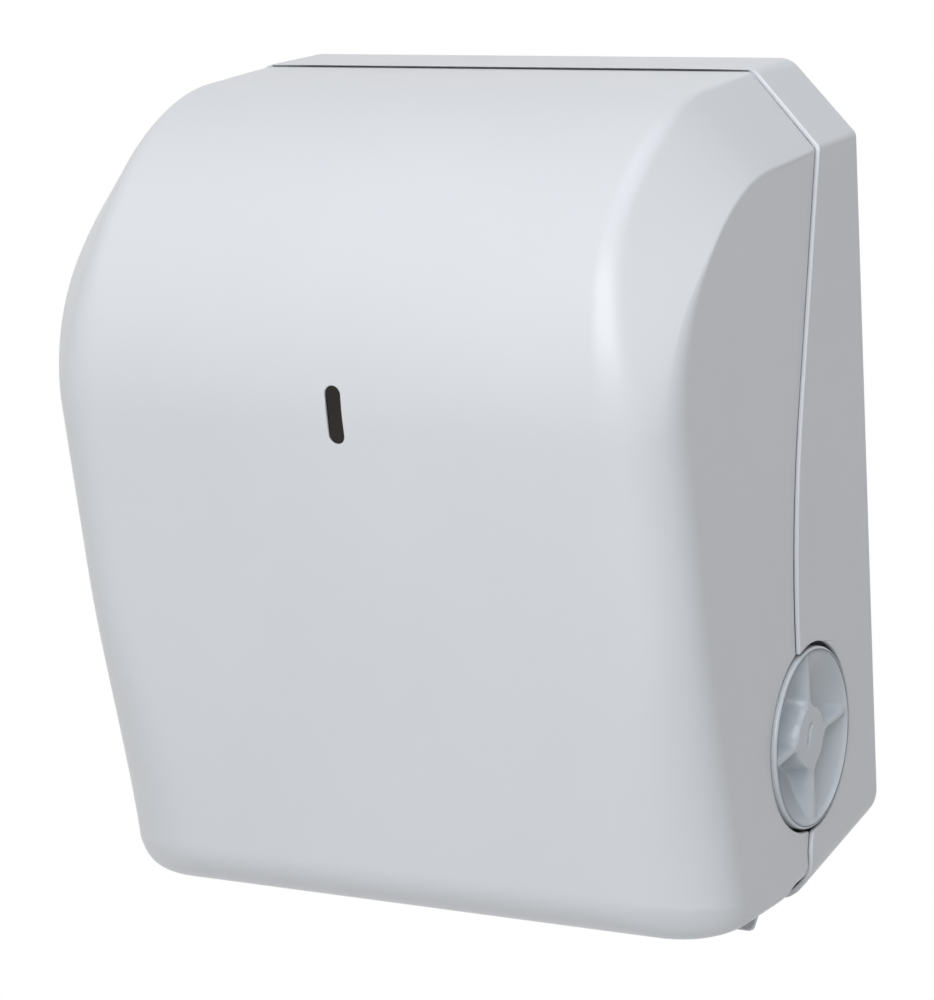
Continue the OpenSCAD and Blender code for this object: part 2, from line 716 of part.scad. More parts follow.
module side_plate(side) {
    sided(side) {
        difference() {
            union() {
                along_x(plate_x, plate_out) polygon(plate_outline);
                for (z = flange_screw_z)
                    translate([plate_x, boss_y - plate_t, z - flange_h / 2])
                        cube([flange_w, plate_t, flange_h]);
                pinch_frame() translate([plate_out - past, seat_s, -block / 2])
                    cube([block_proud + past, seat_t, block]);
            }
            on_drum() rod_x(bush_r, plate_x - past, plate_out + past);
            for (t = ties) rod_x(screw_r, plate_x - past, plate_out + past, t.x, t.y);
            if (side < 0) rod_x(crank_pin_r - 1, plate_x - past, plate_out + past, post_y, post_z);
            for (z = flange_screw_z)
                translate([flange_screw_x, boss_y + past, z]) rotate([90, 0, 0])
                    cylinder(r = screw_r + 0.25, h = plate_t + 2 * past);
            pinch_frame() translate([plate_x - past, pinch_s - block / 2 - clear, -block / 2 - 0.2])
                cube([plate_t + 2 * past, block + pinch_lift + 2 * clear, block + 0.4]);
        }
    }
}
module side_plate_left() color("gainsboro") side_plate(-1);
module side_plate_right() color("gainsboro") side_plate(1);
module frame_screws() color("silver") {
    for (s = [-1, 1], z = flange_screw_z) sided(s)
        translate([flange_screw_x, boss_y - plate_t, z]) rotate([90, 0, 0]) screw();
}
module tie_rods() color("silver") {
    for (t = ties) difference() {
        rod_x(tie_r, -plate_x, plate_x, t.x, t.y);
        for (s = [-1, 1]) sided(s) rod_x(screw_r, plate_x - screw_bore, plate_x + past, t.x, t.y);
    }
}
module tie_rod_screws() color("silver") {
    for (s = [-1, 1], t = ties) sided(s) translate([plate_out, t.x, t.y]) rotate([0, 90, 0]) screw();
}
module cam_track() {
    notch_from = 86;                    // the notch that lets the cam roller in, about the axis
    notch_to = 216;
    on_drum() difference() {
        union() {
            rod_x(track_r + track_wall, plate_x - track_base, plate_x);
            difference() {
                rod_x(track_r + track_wall, track_x, plate_x);
                rod_x(track_r, track_x - past, plate_x + past);
            }
            rod_x(island_low_r, track_x, plate_x);
            along_x(track_x, plate_x) polygon(concat([[0, 0]], [for (i = [0 : 24])
                let (a = mix(notch_to, notch_from + 360, i / 24)) island_r * [cos(a), sin(a)]]));
        }
        rod_x(bush_clear_r, track_x - past, plate_x + past);
    }
}
module cam_track_left() color("dimgray") sided(-1) cam_track();
module cam_track_right() color("dimgray") cam_track();
module shaft_bushes() color("beige") {
    for (s = [-1, 1]) sided(s) on_drum() difference() {
        union() {
            rod_x(bush_r, bush_in, plate_out + past);
            rod_x(bush_flange_r, plate_out, plate_out + bush_flange_t);
        }
        rod_x(shaft_r + run_fit, bush_in - past, plate_out + bush_flange_t + past);
    }
}

// Drum

module drum_slot() {
    translate([-slot_end, -drum_r - 5, -slot_down]) cube([2 * slot_end, drum_r / 2, slot_up + slot_down]);
}
function band_x(i) = (i - (band_count - 1) / 2) * 2 * slot_end / band_count;
module drum_shell() color("whitesmoke") on_drum() difference() {
    rod_x(drum_r, -drum_hl, drum_hl);
    rod_x(drum_r - drum_wall, -drum_hl - past, drum_hl + past);
    for (i = [0 : band_count - 1]) difference() {
        rod_x(drum_r + past, band_x(i) - band_w / 2, band_x(i) + band_w / 2);
        rod_x(drum_r - band_depth, band_x(i) - band_w, band_x(i) + band_w);
    }
    drum_slot();
}
module grip_bands() color("dimgray") on_drum() difference() {
    for (i = [0 : band_count - 1]) difference() {
        rod_x(drum_r + band_proud, band_x(i) - band_w / 2, band_x(i) + band_w / 2);
        rod_x(drum_r - band_depth, band_x(i) - band_w, band_x(i) + band_w);
    }
    drum_slot();
}
module drum_end(side) {
    sided(side) on_drum() difference() {
        rod_x(drum_r - drum_wall, slot_end, drum_hl);
        rod_x(shaft_r, slot_end - past, drum_hl + past);
        rod_x(pivot_r + run_fit, slot_end - past, drum_hl + past, -hinge_pq.x, -hinge_pq.y);
    }
}
module drum_end_left() color("whitesmoke") drum_end(-1);
module drum_end_right() color("whitesmoke") drum_end(1);
module drum_shaft() color("silver") on_drum() difference() {
    rod_x(shaft_r, -shaft_left, shaft_right);
    translate([knob_pin_x, 0, -shaft_r - past]) cylinder(r = knob_pin_r, h = 2 * (shaft_r + past));
}
module feed_knob() color("lightsteelblue") {
    rib_w = 5;
    rib_a = 19;
    plateau_r = 14;
    lip = 3;
    scoop = 7;
    pocket = 2.5;
    on_drum() difference() {
        union() {
            rod_x(knob_r, knob_face - knob_t, knob_face - 1.5);
            rod_x(knob_r - 1.5, knob_face - knob_t, knob_face);
            rod_x(knob_hub_r, knob_hub_x, knob_face - knob_t + past);
        }
        rod_x(knob_r - lip, knob_face - pocket, knob_face + past);
        // Four scoops for a finger, with ribs between them
        rotate([rib_a, 0, 0]) along_x(knob_face - pocket - scoop, knob_face) difference() {
            circle(r = knob_r - lip);
            circle(r = plateau_r);
            square([rib_w, 2 * knob_r], center = true);
            square([2 * knob_r, rib_w], center = true);
        }
        rod_x(shaft_r, knob_hub_x - past, shaft_right);
        translate([knob_pin_x, 0, -knob_r]) cylinder(r = knob_pin_r, h = 2 * knob_r);
    }
}
module knob_pin() color("silver") on_drum()
    translate([knob_pin_x, 0, -knob_hub_r]) cylinder(r = knob_pin_r, h = 2 * knob_hub_r);
module crank_disc() color("silver") sided(-1) on_drum() difference() {
    rod_x(crank_r, crank_x, crank_x + crank_t);
    rod_x(shaft_r, crank_x - past, crank_x + crank_t + past);
    rotate([return_a, 0, 0]) rod_x(crank_pin_r - 1, crank_x - past, crank_x + crank_t + past, crank_throw);
}
module stud(x0, l) {
    // A pin with a head, and a thinner end in the plate that holds it
    rod_x(crank_pin_r, x0, x0 + l);
    rod_x(stud_head_r, x0 + l, x0 + l + stud_head_t);
}
module crank_pin() color("silver") sided(-1) on_drum() rotate([return_a, 0, 0])
    translate([0, crank_throw, 0]) {
        stud(crank_x + crank_t, stud_l);
        rod_x(crank_pin_r - 1, crank_x, crank_x + crank_t + past);
    }
module spring_post() color("silver") sided(-1) translate([0, post_y, post_z]) {
    stud(plate_out, crank_x + crank_t + stud_l - plate_out);
    rod_x(crank_pin_r - 1, plate_x, plate_out + past);
}
module return_spring() color("silver") {
    // Straight out of the crank pin, round its turns, and straight to the post
    body = return_turns * return_pitch;
    z0 = (return_l - body) / 2;
    lead = [for (i = [1 : 4]) [return_coil_r * ramp(i, 0, 4), -180 + i * ring_step, z0 - 4 + i]];
    tail = [for (i = [1 : 4]) [return_coil_r * ramp(4 - i, 0, 4), i * ring_step, z0 + body + i]];
    path = concat([[0, -180, 0], [0, -180, 2], [0, -180, z0 - 4]], lead,
                  [for (c = coil(return_coil_r, return_turns, return_pitch, z0)) if (c.z > z0) c], tail,
                  [[0, 180, return_l - 2], [0, 180, return_l]]);
    translate([-spring_x, drum_y, drum_z]) rotate([return_a, 0, 0])
        translate([0, crank_throw + crank_pin_r, 0]) rotate([-90, 0, 0]) wire(path, return_wire);
}

// Knife, drawn along its own arm from the pivot and turned to where it rests

module on_knife() {
    on_drum() translate([0, -hinge_pq.x, -hinge_pq.y]) rotate([knife_a, 0, 0]) children();
}
module knife_holder() color("dimgray") on_knife() difference() {
    union() {
        rod_x(holder_hub_r, -knife_hl, knife_hl);
        translate([-knife_hl, -holder_l, -holder_t / 2]) cube([2 * knife_hl, holder_l, holder_t]);
    }
    rod_x(pivot_r, -knife_hl - past, knife_hl + past);
    translate([-knife_hl - past, -holder_l - past, -holder_t / 2 - past])
        cube([2 * (knife_hl + past), holder_l - blade_from + past, blade_t + past]);
    for (x = blade_screw_x) blade_screw_hole(x);
}
blade_screw_x = [for (i = [-3, -1, 1, 3]) i * knife_hl / 4];
blade_screw_r = 1.5;
blade_head_r = 2.6;
blade_head_h = 1.4;
blade_screw_at = (blade_from + holder_l) / 2;
module blade_screw_hole(x) {
    translate([x, -blade_screw_at, -holder_t]) cylinder(r = blade_screw_r, h = 2 * holder_t);
}
module knife_blade() color("silver") on_knife() difference() {
    translate([0, 0, -holder_t / 2]) linear_extrude(blade_t) polygon(concat(
        [[knife_hl, -blade_from - 0.1], [-knife_hl, -blade_from - 0.1]],
        [for (i = [0 : 2 * tooth_count]) [mix(-knife_hl, knife_hl, i / (2 * tooth_count)),
            -knife_l + (i % 2 == 0 ? tooth_h : 0)]]));
    for (x = blade_screw_x) blade_screw_hole(x);
}
module blade_screws() color("silver") on_knife() {
    for (x = blade_screw_x) translate([x, -blade_screw_at, holder_t / 2]) {
        cylinder(r = blade_head_r, h = blade_head_h);
        translate([0, 0, -holder_t]) cylinder(r = blade_screw_r, h = holder_t + past / 2);
    }
}
module knife_pivot() color("silver") on_knife() rod_x(pivot_r, -lever_x - lever_t, lever_x + lever_t);
lever_l = norm(lever_pq);
module cam_levers() color("silver") {
    for (s = [-1, 1]) sided(s) on_drum() translate([0, -hinge_pq.x, -hinge_pq.y])
        rotate([atan2(lever_pq.y, lever_pq.x), 0, 0]) difference() {
            union() {
                rod_x(lever_w / 2 + 0.5, lever_x, lever_x + lever_t);
                rod_x(lever_w / 2, lever_x, lever_x + lever_t, -lever_l);
                translate([lever_x, -lever_l, -lever_w / 2]) cube([lever_t, lever_l, lever_w]);
                rod_x(follower_r / 2, lever_x, plate_x - track_base - clear, -lever_l);
            }
            rod_x(pivot_r, lever_x - past, lever_x + lever_t + past);
        }
}
module cam_rollers() color("whitesmoke") {
    for (s = [-1, 1]) sided(s) on_drum() difference() {
        rod_x(follower_r, track_x, plate_x - track_base - clear, -follower_pq.x, -follower_pq.y);
        rod_x(follower_r / 2 + run_fit, lever_x, plate_x, -follower_pq.x, -follower_pq.y);
    }
}

// Pinch roller

module pinch_sleeve() color("dimgray") pinch_frame() difference() {
    rod_x(pinch_r, -pinch_hl, pinch_hl, pinch_s);
    rod_x(pinch_shaft_r, -pinch_hl - past, pinch_hl + past, pinch_s);
}
module pinch_shaft() color("silver") pinch_frame()
    rod_x(pinch_shaft_r, -block_out + pin_end, block_out - pin_end, pinch_s);
module pinch_blocks() color("whitesmoke") {
    for (s = [-1, 1]) sided(s) pinch_frame() difference() {
        translate([block_x, pinch_s - block / 2, -block / 2]) cube([block_out - block_x, block, block]);
        rod_x(pinch_shaft_r + run_fit, block_x - past, block_out + past, pinch_s);
    }
}
module pinch_springs() color("silver") {
    for (s = [-1, 1]) sided(s) pinch_frame()
        translate([pinch_spring_x, pinch_s + block / 2 + pinch_wire + 0.1, 0]) rotate([-90, 0, 0])
            wire(coil(pinch_coil_r, pinch_turns, pinch_pitch, 0), pinch_wire);
}

// Roll holder

module roll_arm(side) {
    sided(side) difference() {
        union() {
            along_x(arm_x, arm_x + arm_t) {
                polygon([[arm_pin_y, roll_z - arm_root_h / 2], [roll_y, roll_z - arm_end_r],
                         [roll_y, roll_z + arm_end_r], [arm_pin_y, roll_z + arm_root_h / 2]]);
                translate([roll_y, roll_z]) circle(r = arm_end_r);
            }
            for (z = [roll_z - knuckle_h - knuckle_gap, roll_z + knuckle_gap])
                translate([arm_pin_x, arm_pin_y, z]) cylinder(r = knuckle_r, h = knuckle_h);
        }
        translate([arm_pin_x, arm_pin_y, roll_z - arm_root_h])
            cylinder(r = arm_pin_r + run_fit, h = 2 * arm_root_h);
        translate([arm_pin_x, arm_pin_y, roll_z - knuckle_gap])
            cylinder(r = knuckle_r + past, h = 2 * knuckle_gap);
        rod_x(axle_r, arm_x - past, arm_x + arm_t + past, roll_y, roll_z);
    }
}
module roll_arm_left() color("whitesmoke") roll_arm(-1);
module roll_arm_right() color("whitesmoke") roll_arm(1);
module arm_pins() color("silver") {
    for (s = [-1, 1]) sided(s) translate([arm_pin_x, arm_pin_y, arm_ear_z - pin_end])
        cylinder(r = arm_pin_r, h = 2 * (roll_z - arm_ear_z + pin_end));
}
module arm_springs() color("silver") {
    for (s = [-1, 1]) sided(s) translate([arm_pin_x, arm_pin_y, roll_z - arm_turns * arm_pitch / 2])
        wire(coil(arm_coil_r, arm_turns, arm_pitch, 0), arm_wire);
}
module hub_axle(side) {
    sided(side) {
        rod_x(axle_r, axle_in - clip_t - axle_end, arm_x + arm_t + past / 2, roll_y, roll_z);
        rod_x(axle_head_r, arm_x + arm_t, arm_x + arm_t + axle_head_t, roll_y, roll_z);
    }
}
module hub_axle_left() color("silver") hub_axle(-1);
module hub_axle_right() color("silver") hub_axle(1);
module roll_hub(side) {
    nose_x = roll_hw - hub_nose_l;
    taper = 3;
    sided(side) translate([0, roll_y, roll_z]) difference() {
        union() {
            rod_x(hub_flange_r, roll_hw, roll_hw + hub_t);
            rod_x(core_r, nose_x + taper, roll_hw + past);
            translate([nose_x, 0, 0]) rotate([0, 90, 0])
                cylinder(r1 = core_r - taper, r2 = core_r, h = taper);
        }
        rod_x(axle_r + run_fit, nose_x - past, roll_hw + hub_t + past);
        difference() {
            rod_x(core_r - 2.5, nose_x + 2 * taper, roll_hw + hub_t + past);
            rod_x(axle_r + 2.5, nose_x, roll_hw + hub_t + 2 * past);
        }
    }
}
module roll_hub_left() color("whitesmoke") roll_hub(-1);
module roll_hub_right() color("whitesmoke") roll_hub(1);
module hub_clip(side) {
    sided(side) difference() {
        rod_x(clip_r, axle_in - clip_t, axle_in, roll_y, roll_z);
        rod_x(axle_r, axle_in - clip_t - past, axle_in + past, roll_y, roll_z);
    }
}
module hub_clip_left() color("silver") hub_clip(-1);
module hub_clip_right() color("silver") hub_clip(1);

rear_case();
front_cover();
level_window();
hinge_pins();
exit_lip();
exit_lip_screws();
lock_housing();
lock_ring_nut();
lock_plug();
lock_cam();
lock_cam_nut();
side_plate_left();
side_plate_right();
frame_screws();
tie_rods();
tie_rod_screws();
cam_track_left();
cam_track_right();
shaft_bushes();
drum_shell();
grip_bands();
drum_end_left();
drum_end_right();
drum_shaft();
feed_knob();
knob_pin();
crank_disc();
crank_pin();
return_spring();
spring_post();
knife_holder();
knife_blade();
blade_screws();
knife_pivot();
cam_levers();
cam_rollers();
pinch_sleeve();
pinch_shaft();
pinch_blocks();
pinch_springs();
roll_arm_left();
roll_arm_right();
arm_pins();
arm_springs();
hub_axle_left();
hub_axle_right();
roll_hub_left();
roll_hub_right();
hub_clip_left();
hub_clip_right();
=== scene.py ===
"""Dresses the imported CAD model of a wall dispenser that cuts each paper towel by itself."""

import contextlib
import json
import math

import bpy
from mathutils import Matrix, Vector
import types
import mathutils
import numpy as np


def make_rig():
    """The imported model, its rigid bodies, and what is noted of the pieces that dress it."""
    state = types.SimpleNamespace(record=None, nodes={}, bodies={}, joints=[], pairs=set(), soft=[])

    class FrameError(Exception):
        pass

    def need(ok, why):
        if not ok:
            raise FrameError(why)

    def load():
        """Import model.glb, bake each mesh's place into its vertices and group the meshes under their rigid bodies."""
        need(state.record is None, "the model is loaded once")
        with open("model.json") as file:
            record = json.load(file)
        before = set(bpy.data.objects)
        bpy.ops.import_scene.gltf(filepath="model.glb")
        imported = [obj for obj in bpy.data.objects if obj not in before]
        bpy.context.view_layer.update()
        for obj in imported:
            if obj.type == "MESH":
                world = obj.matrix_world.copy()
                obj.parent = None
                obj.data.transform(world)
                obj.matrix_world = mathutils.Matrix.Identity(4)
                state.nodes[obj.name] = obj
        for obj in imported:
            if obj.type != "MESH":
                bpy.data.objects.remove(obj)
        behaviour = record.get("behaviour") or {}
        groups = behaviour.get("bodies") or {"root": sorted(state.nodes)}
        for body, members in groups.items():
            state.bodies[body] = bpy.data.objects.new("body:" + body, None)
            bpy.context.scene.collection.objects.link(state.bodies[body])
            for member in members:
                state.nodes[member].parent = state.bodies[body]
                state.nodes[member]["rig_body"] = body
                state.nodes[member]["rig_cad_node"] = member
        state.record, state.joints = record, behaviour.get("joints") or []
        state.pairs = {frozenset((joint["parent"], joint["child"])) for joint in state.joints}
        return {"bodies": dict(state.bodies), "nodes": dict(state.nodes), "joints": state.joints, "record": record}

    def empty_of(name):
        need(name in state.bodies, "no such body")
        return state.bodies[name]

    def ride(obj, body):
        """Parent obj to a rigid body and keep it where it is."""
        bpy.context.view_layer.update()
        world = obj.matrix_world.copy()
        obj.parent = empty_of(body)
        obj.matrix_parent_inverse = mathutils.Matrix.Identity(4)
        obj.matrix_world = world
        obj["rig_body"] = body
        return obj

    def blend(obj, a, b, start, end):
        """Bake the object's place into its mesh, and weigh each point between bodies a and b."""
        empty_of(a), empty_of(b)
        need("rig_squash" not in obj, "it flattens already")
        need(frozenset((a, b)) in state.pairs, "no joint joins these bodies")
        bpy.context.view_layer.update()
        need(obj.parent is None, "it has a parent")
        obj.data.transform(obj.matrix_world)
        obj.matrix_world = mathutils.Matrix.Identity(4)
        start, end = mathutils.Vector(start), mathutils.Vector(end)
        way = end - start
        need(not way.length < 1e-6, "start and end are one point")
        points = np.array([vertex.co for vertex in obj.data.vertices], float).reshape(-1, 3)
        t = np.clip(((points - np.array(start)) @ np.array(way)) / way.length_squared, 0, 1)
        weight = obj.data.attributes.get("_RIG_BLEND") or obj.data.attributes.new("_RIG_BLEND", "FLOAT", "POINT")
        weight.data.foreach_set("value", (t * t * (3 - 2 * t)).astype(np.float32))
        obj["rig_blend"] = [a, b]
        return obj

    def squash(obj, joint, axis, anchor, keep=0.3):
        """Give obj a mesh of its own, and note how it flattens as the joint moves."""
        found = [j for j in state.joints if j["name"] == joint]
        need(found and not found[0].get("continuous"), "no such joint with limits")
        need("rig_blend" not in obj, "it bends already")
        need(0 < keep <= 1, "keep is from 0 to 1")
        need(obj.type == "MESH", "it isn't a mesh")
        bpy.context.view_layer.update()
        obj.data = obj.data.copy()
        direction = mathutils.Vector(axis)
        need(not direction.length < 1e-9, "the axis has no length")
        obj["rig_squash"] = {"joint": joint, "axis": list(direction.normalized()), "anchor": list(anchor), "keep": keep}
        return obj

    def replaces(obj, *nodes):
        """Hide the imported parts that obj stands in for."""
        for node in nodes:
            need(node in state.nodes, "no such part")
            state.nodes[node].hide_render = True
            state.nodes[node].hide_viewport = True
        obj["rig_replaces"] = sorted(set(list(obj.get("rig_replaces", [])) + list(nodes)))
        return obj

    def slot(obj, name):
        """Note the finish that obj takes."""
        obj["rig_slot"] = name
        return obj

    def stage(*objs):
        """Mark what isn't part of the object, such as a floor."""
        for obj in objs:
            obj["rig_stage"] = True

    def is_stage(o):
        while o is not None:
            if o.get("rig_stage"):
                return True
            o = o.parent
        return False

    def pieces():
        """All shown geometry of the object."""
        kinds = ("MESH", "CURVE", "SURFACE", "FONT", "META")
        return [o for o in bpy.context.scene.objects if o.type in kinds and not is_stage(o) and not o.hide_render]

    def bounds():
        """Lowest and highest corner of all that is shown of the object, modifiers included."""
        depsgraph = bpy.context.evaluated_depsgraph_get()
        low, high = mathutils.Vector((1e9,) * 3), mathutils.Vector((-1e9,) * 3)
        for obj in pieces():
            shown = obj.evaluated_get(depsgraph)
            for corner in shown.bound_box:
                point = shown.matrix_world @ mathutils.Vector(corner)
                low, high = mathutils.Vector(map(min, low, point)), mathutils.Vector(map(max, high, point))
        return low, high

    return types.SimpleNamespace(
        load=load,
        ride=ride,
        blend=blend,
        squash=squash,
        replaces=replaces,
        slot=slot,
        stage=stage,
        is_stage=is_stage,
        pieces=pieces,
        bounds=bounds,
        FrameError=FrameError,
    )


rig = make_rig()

bl_info = {
    "name": "Autocut towel dispenser",
    "version": (1, 0, 0),
    "blender": (4, 5, 0),
    "location": "View3D > Sidebar > Dispenser",
    "description": "Builds the looks of a towel dispenser round its packed CAD model",
    "category": "Object",
}

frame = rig.load()
cad_box = [list(corner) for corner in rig.bounds()]
MM = 0.001
SHARP = 40  # degrees between faces from which an edge is rounded
SMOOTH = 38  # degrees between faces up to which they are shaded as one


# Sizes and colours

def length(name, description, mm):
    """A length that a user may change, kept in metres."""
    return bpy.props.FloatProperty(
        name=name, description=description, default=mm * MM, min=0, unit="LENGTH")


def angle(name, description, degrees):
    """An angle that a user may change, kept in radians."""
    return bpy.props.FloatProperty(
        name=name, description=description, default=math.radians(degrees), unit="ROTATION")


def colour(name, description, red, green, blue):
    """A surface colour that a user may change."""
    return bpy.props.FloatVectorProperty(
        name=name, description=description, default=(red, green, blue), size=3, min=0, max=1, subtype="COLOR")


class DispenserSizes(bpy.types.PropertyGroup):
    width: length("Width", "Width of the case over its rim", 330)
    height: length("Height", "Height of the case", 386)
    wall: length("Wall", "Wall of the case and of the cover", 2.5)
    chamfer_width: length("Chamfer width", "Width of the top corner's chamfer", 32)
    chamfer_height: length("Chamfer height", "Height of the top corner's chamfer", 35)
    rim_proud: length("Rim", "How far the case's rim stands proud of the cover", 1.5)
    seam_gap: length("Seam gap", "Gap between the closed cover and the case", 1)
    nose_radius: length("Nose radius", "Radius of the cover's nose", 121.5)
    nose_depth: length("Nose depth", "Depth of the nose's axis from the wall", 98)
    chin_radius: length("Chin radius", "Radius of the cover's lower front edge", 29.5)
    crease_radius: length("Inner crease", "Rounding where the front meets the upper chamfer", 15)
    edge_radius: length("Outer crease", "Rounding where the upper chamfer meets the side", 2.6)
    front_slope: angle("Front slope", "Slope of the front face, from plumb", 7.2)
    side_lean: angle("Side lean", "How much the cover's sides lean in towards the front", 0.96)
    knob_radius: length("Knob radius", "Radius of the feed knob", 43)
    knob_gap: length("Knob gap", "Gap round the feed knob", 2)
    window_width: length("Window width", "Width of the level window", 8)
    window_length: length("Window length", "Length of the level window", 27)


class DispenserColours(bpy.types.PropertyGroup):
    shell: colour("Shell", "Glossy white of the cover and the case", 0.745, 0.765, 0.795)
    knob: colour("Knob", "Bluish white of the feed knob", 0.60, 0.645, 0.69)
    # Painted shade: the lens is opaque and near black, so its colour is partly the smoked plastic and partly the shade
    # of the case's inside that would show through it.
    lens: colour("Lens", "Smoked lens of the level window", 0.010, 0.007, 0.006)
    steel: colour("Steel", "Turned and plated steel", 0.56, 0.57, 0.58)
    plate: colour("Frame", "Galvanised sheet of the frame", 0.50, 0.52, 0.54)
    track: colour("Track", "Dark plastic of the cam tracks and the knife's holder", 0.035, 0.037, 0.040)
    nylon: colour("Nylon", "Pale nylon of the bearings and hubs", 0.70, 0.68, 0.62)
    rubber: colour("Rubber", "Grip bands and the pinch roller's sleeve", 0.030, 0.030, 0.032)


# Shape helpers

def ramp(x, low, high):
    t = max(0.0, min(1.0, (x - low) / (high - low)))
    return t * t * (3 - 2 * t)


def mix(a, b, t):
    return a + (b - a) * t


def soft_min(a, b, reach):
    """The lower of two values, with the corner between them rounded."""
    h = max(reach - abs(a - b), 0) / reach
    return min(a, b) - h * h * reach / 4


def arc(before, corner, after, radius, steps):
    """Points of the arc that rounds a corner between its two neighbours."""
    u = (before - corner).normalized()
    v = (after - corner).normalized()
    half = u.angle(v) / 2
    centre = corner + (u + v).normalized() * radius / math.sin(half)
    start = corner + u * radius / math.tan(half) - centre
    sweep = math.pi - 2 * half
    if u.x * v.y - u.y * v.x > 0:
        sweep = -sweep
    return [centre + Matrix.Rotation(sweep * i / steps, 2) @ start for i in range(steps + 1)]


def rounded(corners, steps):
    """Outline points for corners [x, y, radius]; the outline is closed."""
    points = []
    places = [Vector(c[:2]) for c in corners]
    for k, (_, _, radius) in enumerate(corners):
        if radius > 0:
            points += arc(places[k - 1], places[k], places[(k + 1) % len(places)], radius, steps)
        else:
            points.append(places[k])
    return points


def softened(profile, steps=4):
    """Open profile of [along, radius, rounding] corners, each rounded."""
    points = []
    places = [Vector(c[:2]) for c in profile]
    for k, (x, r, fillet) in enumerate(profile):
        if 0 < k < len(profile) - 1 and fillet > 0:
            points += [tuple(q) for q in arc(places[k - 1], places[k], places[k + 1], fillet, steps)]
        else:
            points.append((x, r))
    return points


# Modelling helpers

def alone(obj):
    """Leaves one object selected and active."""
    bpy.ops.object.select_all(action="DESELECT")
    obj.select_set(True)
    bpy.context.view_layer.objects.active = obj


def named(name):
    obj = bpy.context.object
    obj.name = name
    obj.data.name = name
    return obj


def grid(name, cols, rows, place):
    """A grid primitive laid on a shape: place(i, j) is a point in millimetres."""
    bpy.ops.object.select_all(action="DESELECT")
    bpy.ops.mesh.primitive_grid_add(x_subdivisions=cols, y_subdivisions=rows, size=2)
    obj = named(name)
    for v in obj.data.vertices:
        i = round((v.co.x + 1) * cols / 2)
        j = round((v.co.y + 1) * rows / 2)
        v.co = Vector(place(i, j)) * MM
    return obj


def panel(name, points):
    """A flat face with this outline, in millimetres."""
    bpy.ops.object.select_all(action="DESELECT")
    bpy.ops.mesh.primitive_circle_add(vertices=len(points), fill_type="NGON")
    obj = named(name)
    for v, p in zip(obj.data.vertices, points):
        v.co = Vector(p) * MM
    return obj


@contextlib.contextmanager
def editing(obj):
    """Edit mode for one object, with all of its mesh selected."""
    alone(obj)
    bpy.ops.object.mode_set(mode="EDIT")
    bpy.ops.mesh.select_all(action="SELECT")
    yield
    bpy.ops.object.mode_set(mode="OBJECT")


def flip(obj):
    """Turns all faces over."""
    with editing(obj):
        bpy.ops.mesh.flip_normals()


def enclosed(obj):
    """Six times the volume in a closed mesh, below zero if its faces look inward."""
    mesh = obj.data
    mesh.calc_loop_triangles()
    total = 0.0
    for triangle in mesh.loop_triangles:
        a, b, c = [mesh.vertices[k].co for k in triangle.vertices]
        total += a.dot(b.cross(c))
    return total


def weld(obj, outward=True, fill=False):
    """Merges points that meet, closes open ends if asked, and turns the faces outward."""
    with editing(obj):
        bpy.ops.mesh.remove_doubles(threshold=1e-6)
        if fill:
            bpy.ops.mesh.fill_holes(sides=0)
        if outward:
            bpy.ops.mesh.select_all(action="SELECT")
            bpy.ops.mesh.normals_make_consistent(inside=False)
    if fill and enclosed(obj) < 0:
        flip(obj)
    return obj


def join(first, *others):
    alone(first)
    for o in others:
        o.select_set(True)
    bpy.ops.object.join()
    return first


def apply(obj, kind, **settings):
    """Adds a modifier and applies it."""
    alone(obj)
    m = obj.modifiers.new(kind.title(), kind)
    for key, value in settings.items():
        setattr(m, key, value)
    bpy.ops.object.modifier_apply(modifier=m.name)
    return obj


def cut(obj, *cutters):
    for cutter in cutters:
        apply(obj, "BOOLEAN", object=cutter, operation="DIFFERENCE", solver="MANIFOLD")
        bpy.data.objects.remove(cutter)
    return obj


def unite(obj, *others):
    for other in others:
        apply(obj, "BOOLEAN", object=other, operation="UNION", solver="MANIFOLD")
        bpy.data.objects.remove(other)
    return obj


def copied(obj, name, matrix):
    """A copy with its own mesh, moved by a matrix in metres; a mirroring one is turned right side out."""
    alone(obj)
    bpy.ops.object.duplicate()
    twin = named(name)
    twin.data.transform(matrix)
    if matrix.determinant() < 0:
        flip(twin)
    return twin


def across(obj, name):
    """The same piece on the other side."""
    return copied(obj, name, Matrix.Diagonal((-1, 1, 1, 1)))


def placed(obj, name, place, way):
    """A copy of a piece drawn along Z, moved to a place in millimetres with its Z turned to a way."""
    turn = Vector(way).to_track_quat("Z", "Y").to_matrix().to_4x4()
    return copied(obj, name, Matrix.Translation(Vector(place) * MM) @ turn)


def ease(obj, width, segments=2, degrees=35):
    """Rounds the sharp edges."""
    return apply(obj, "BEVEL", width=width * MM, segments=segments, limit_method="ANGLE",
                 angle_limit=math.radians(degrees), use_clamp_overlap=False, miter_outer="MITER_ARC")


def ease_near(obj, width, place, reach):
    """Rounds the sharp edges within a reach of a place, in millimetres."""
    alone(obj)
    bpy.ops.object.mode_set(mode="EDIT")
    bpy.ops.mesh.select_mode(type="EDGE")
    bpy.ops.mesh.select_all(action="DESELECT")
    bpy.ops.mesh.edges_select_sharp(sharpness=math.radians(SHARP))
    bpy.ops.object.mode_set(mode="OBJECT")
    points = obj.data.vertices
    for e in obj.data.edges:
        middle = (points[e.vertices[0]].co + points[e.vertices[1]].co) / 2
        e.select = e.select and (middle / MM - Vector(place)).length < reach
    bpy.ops.object.mode_set(mode="EDIT")
    bpy.ops.mesh.bevel(offset=width * MM, segments=3, affect="EDGES", clamp_overlap=False)
    bpy.ops.object.mode_set(mode="OBJECT")
    return obj


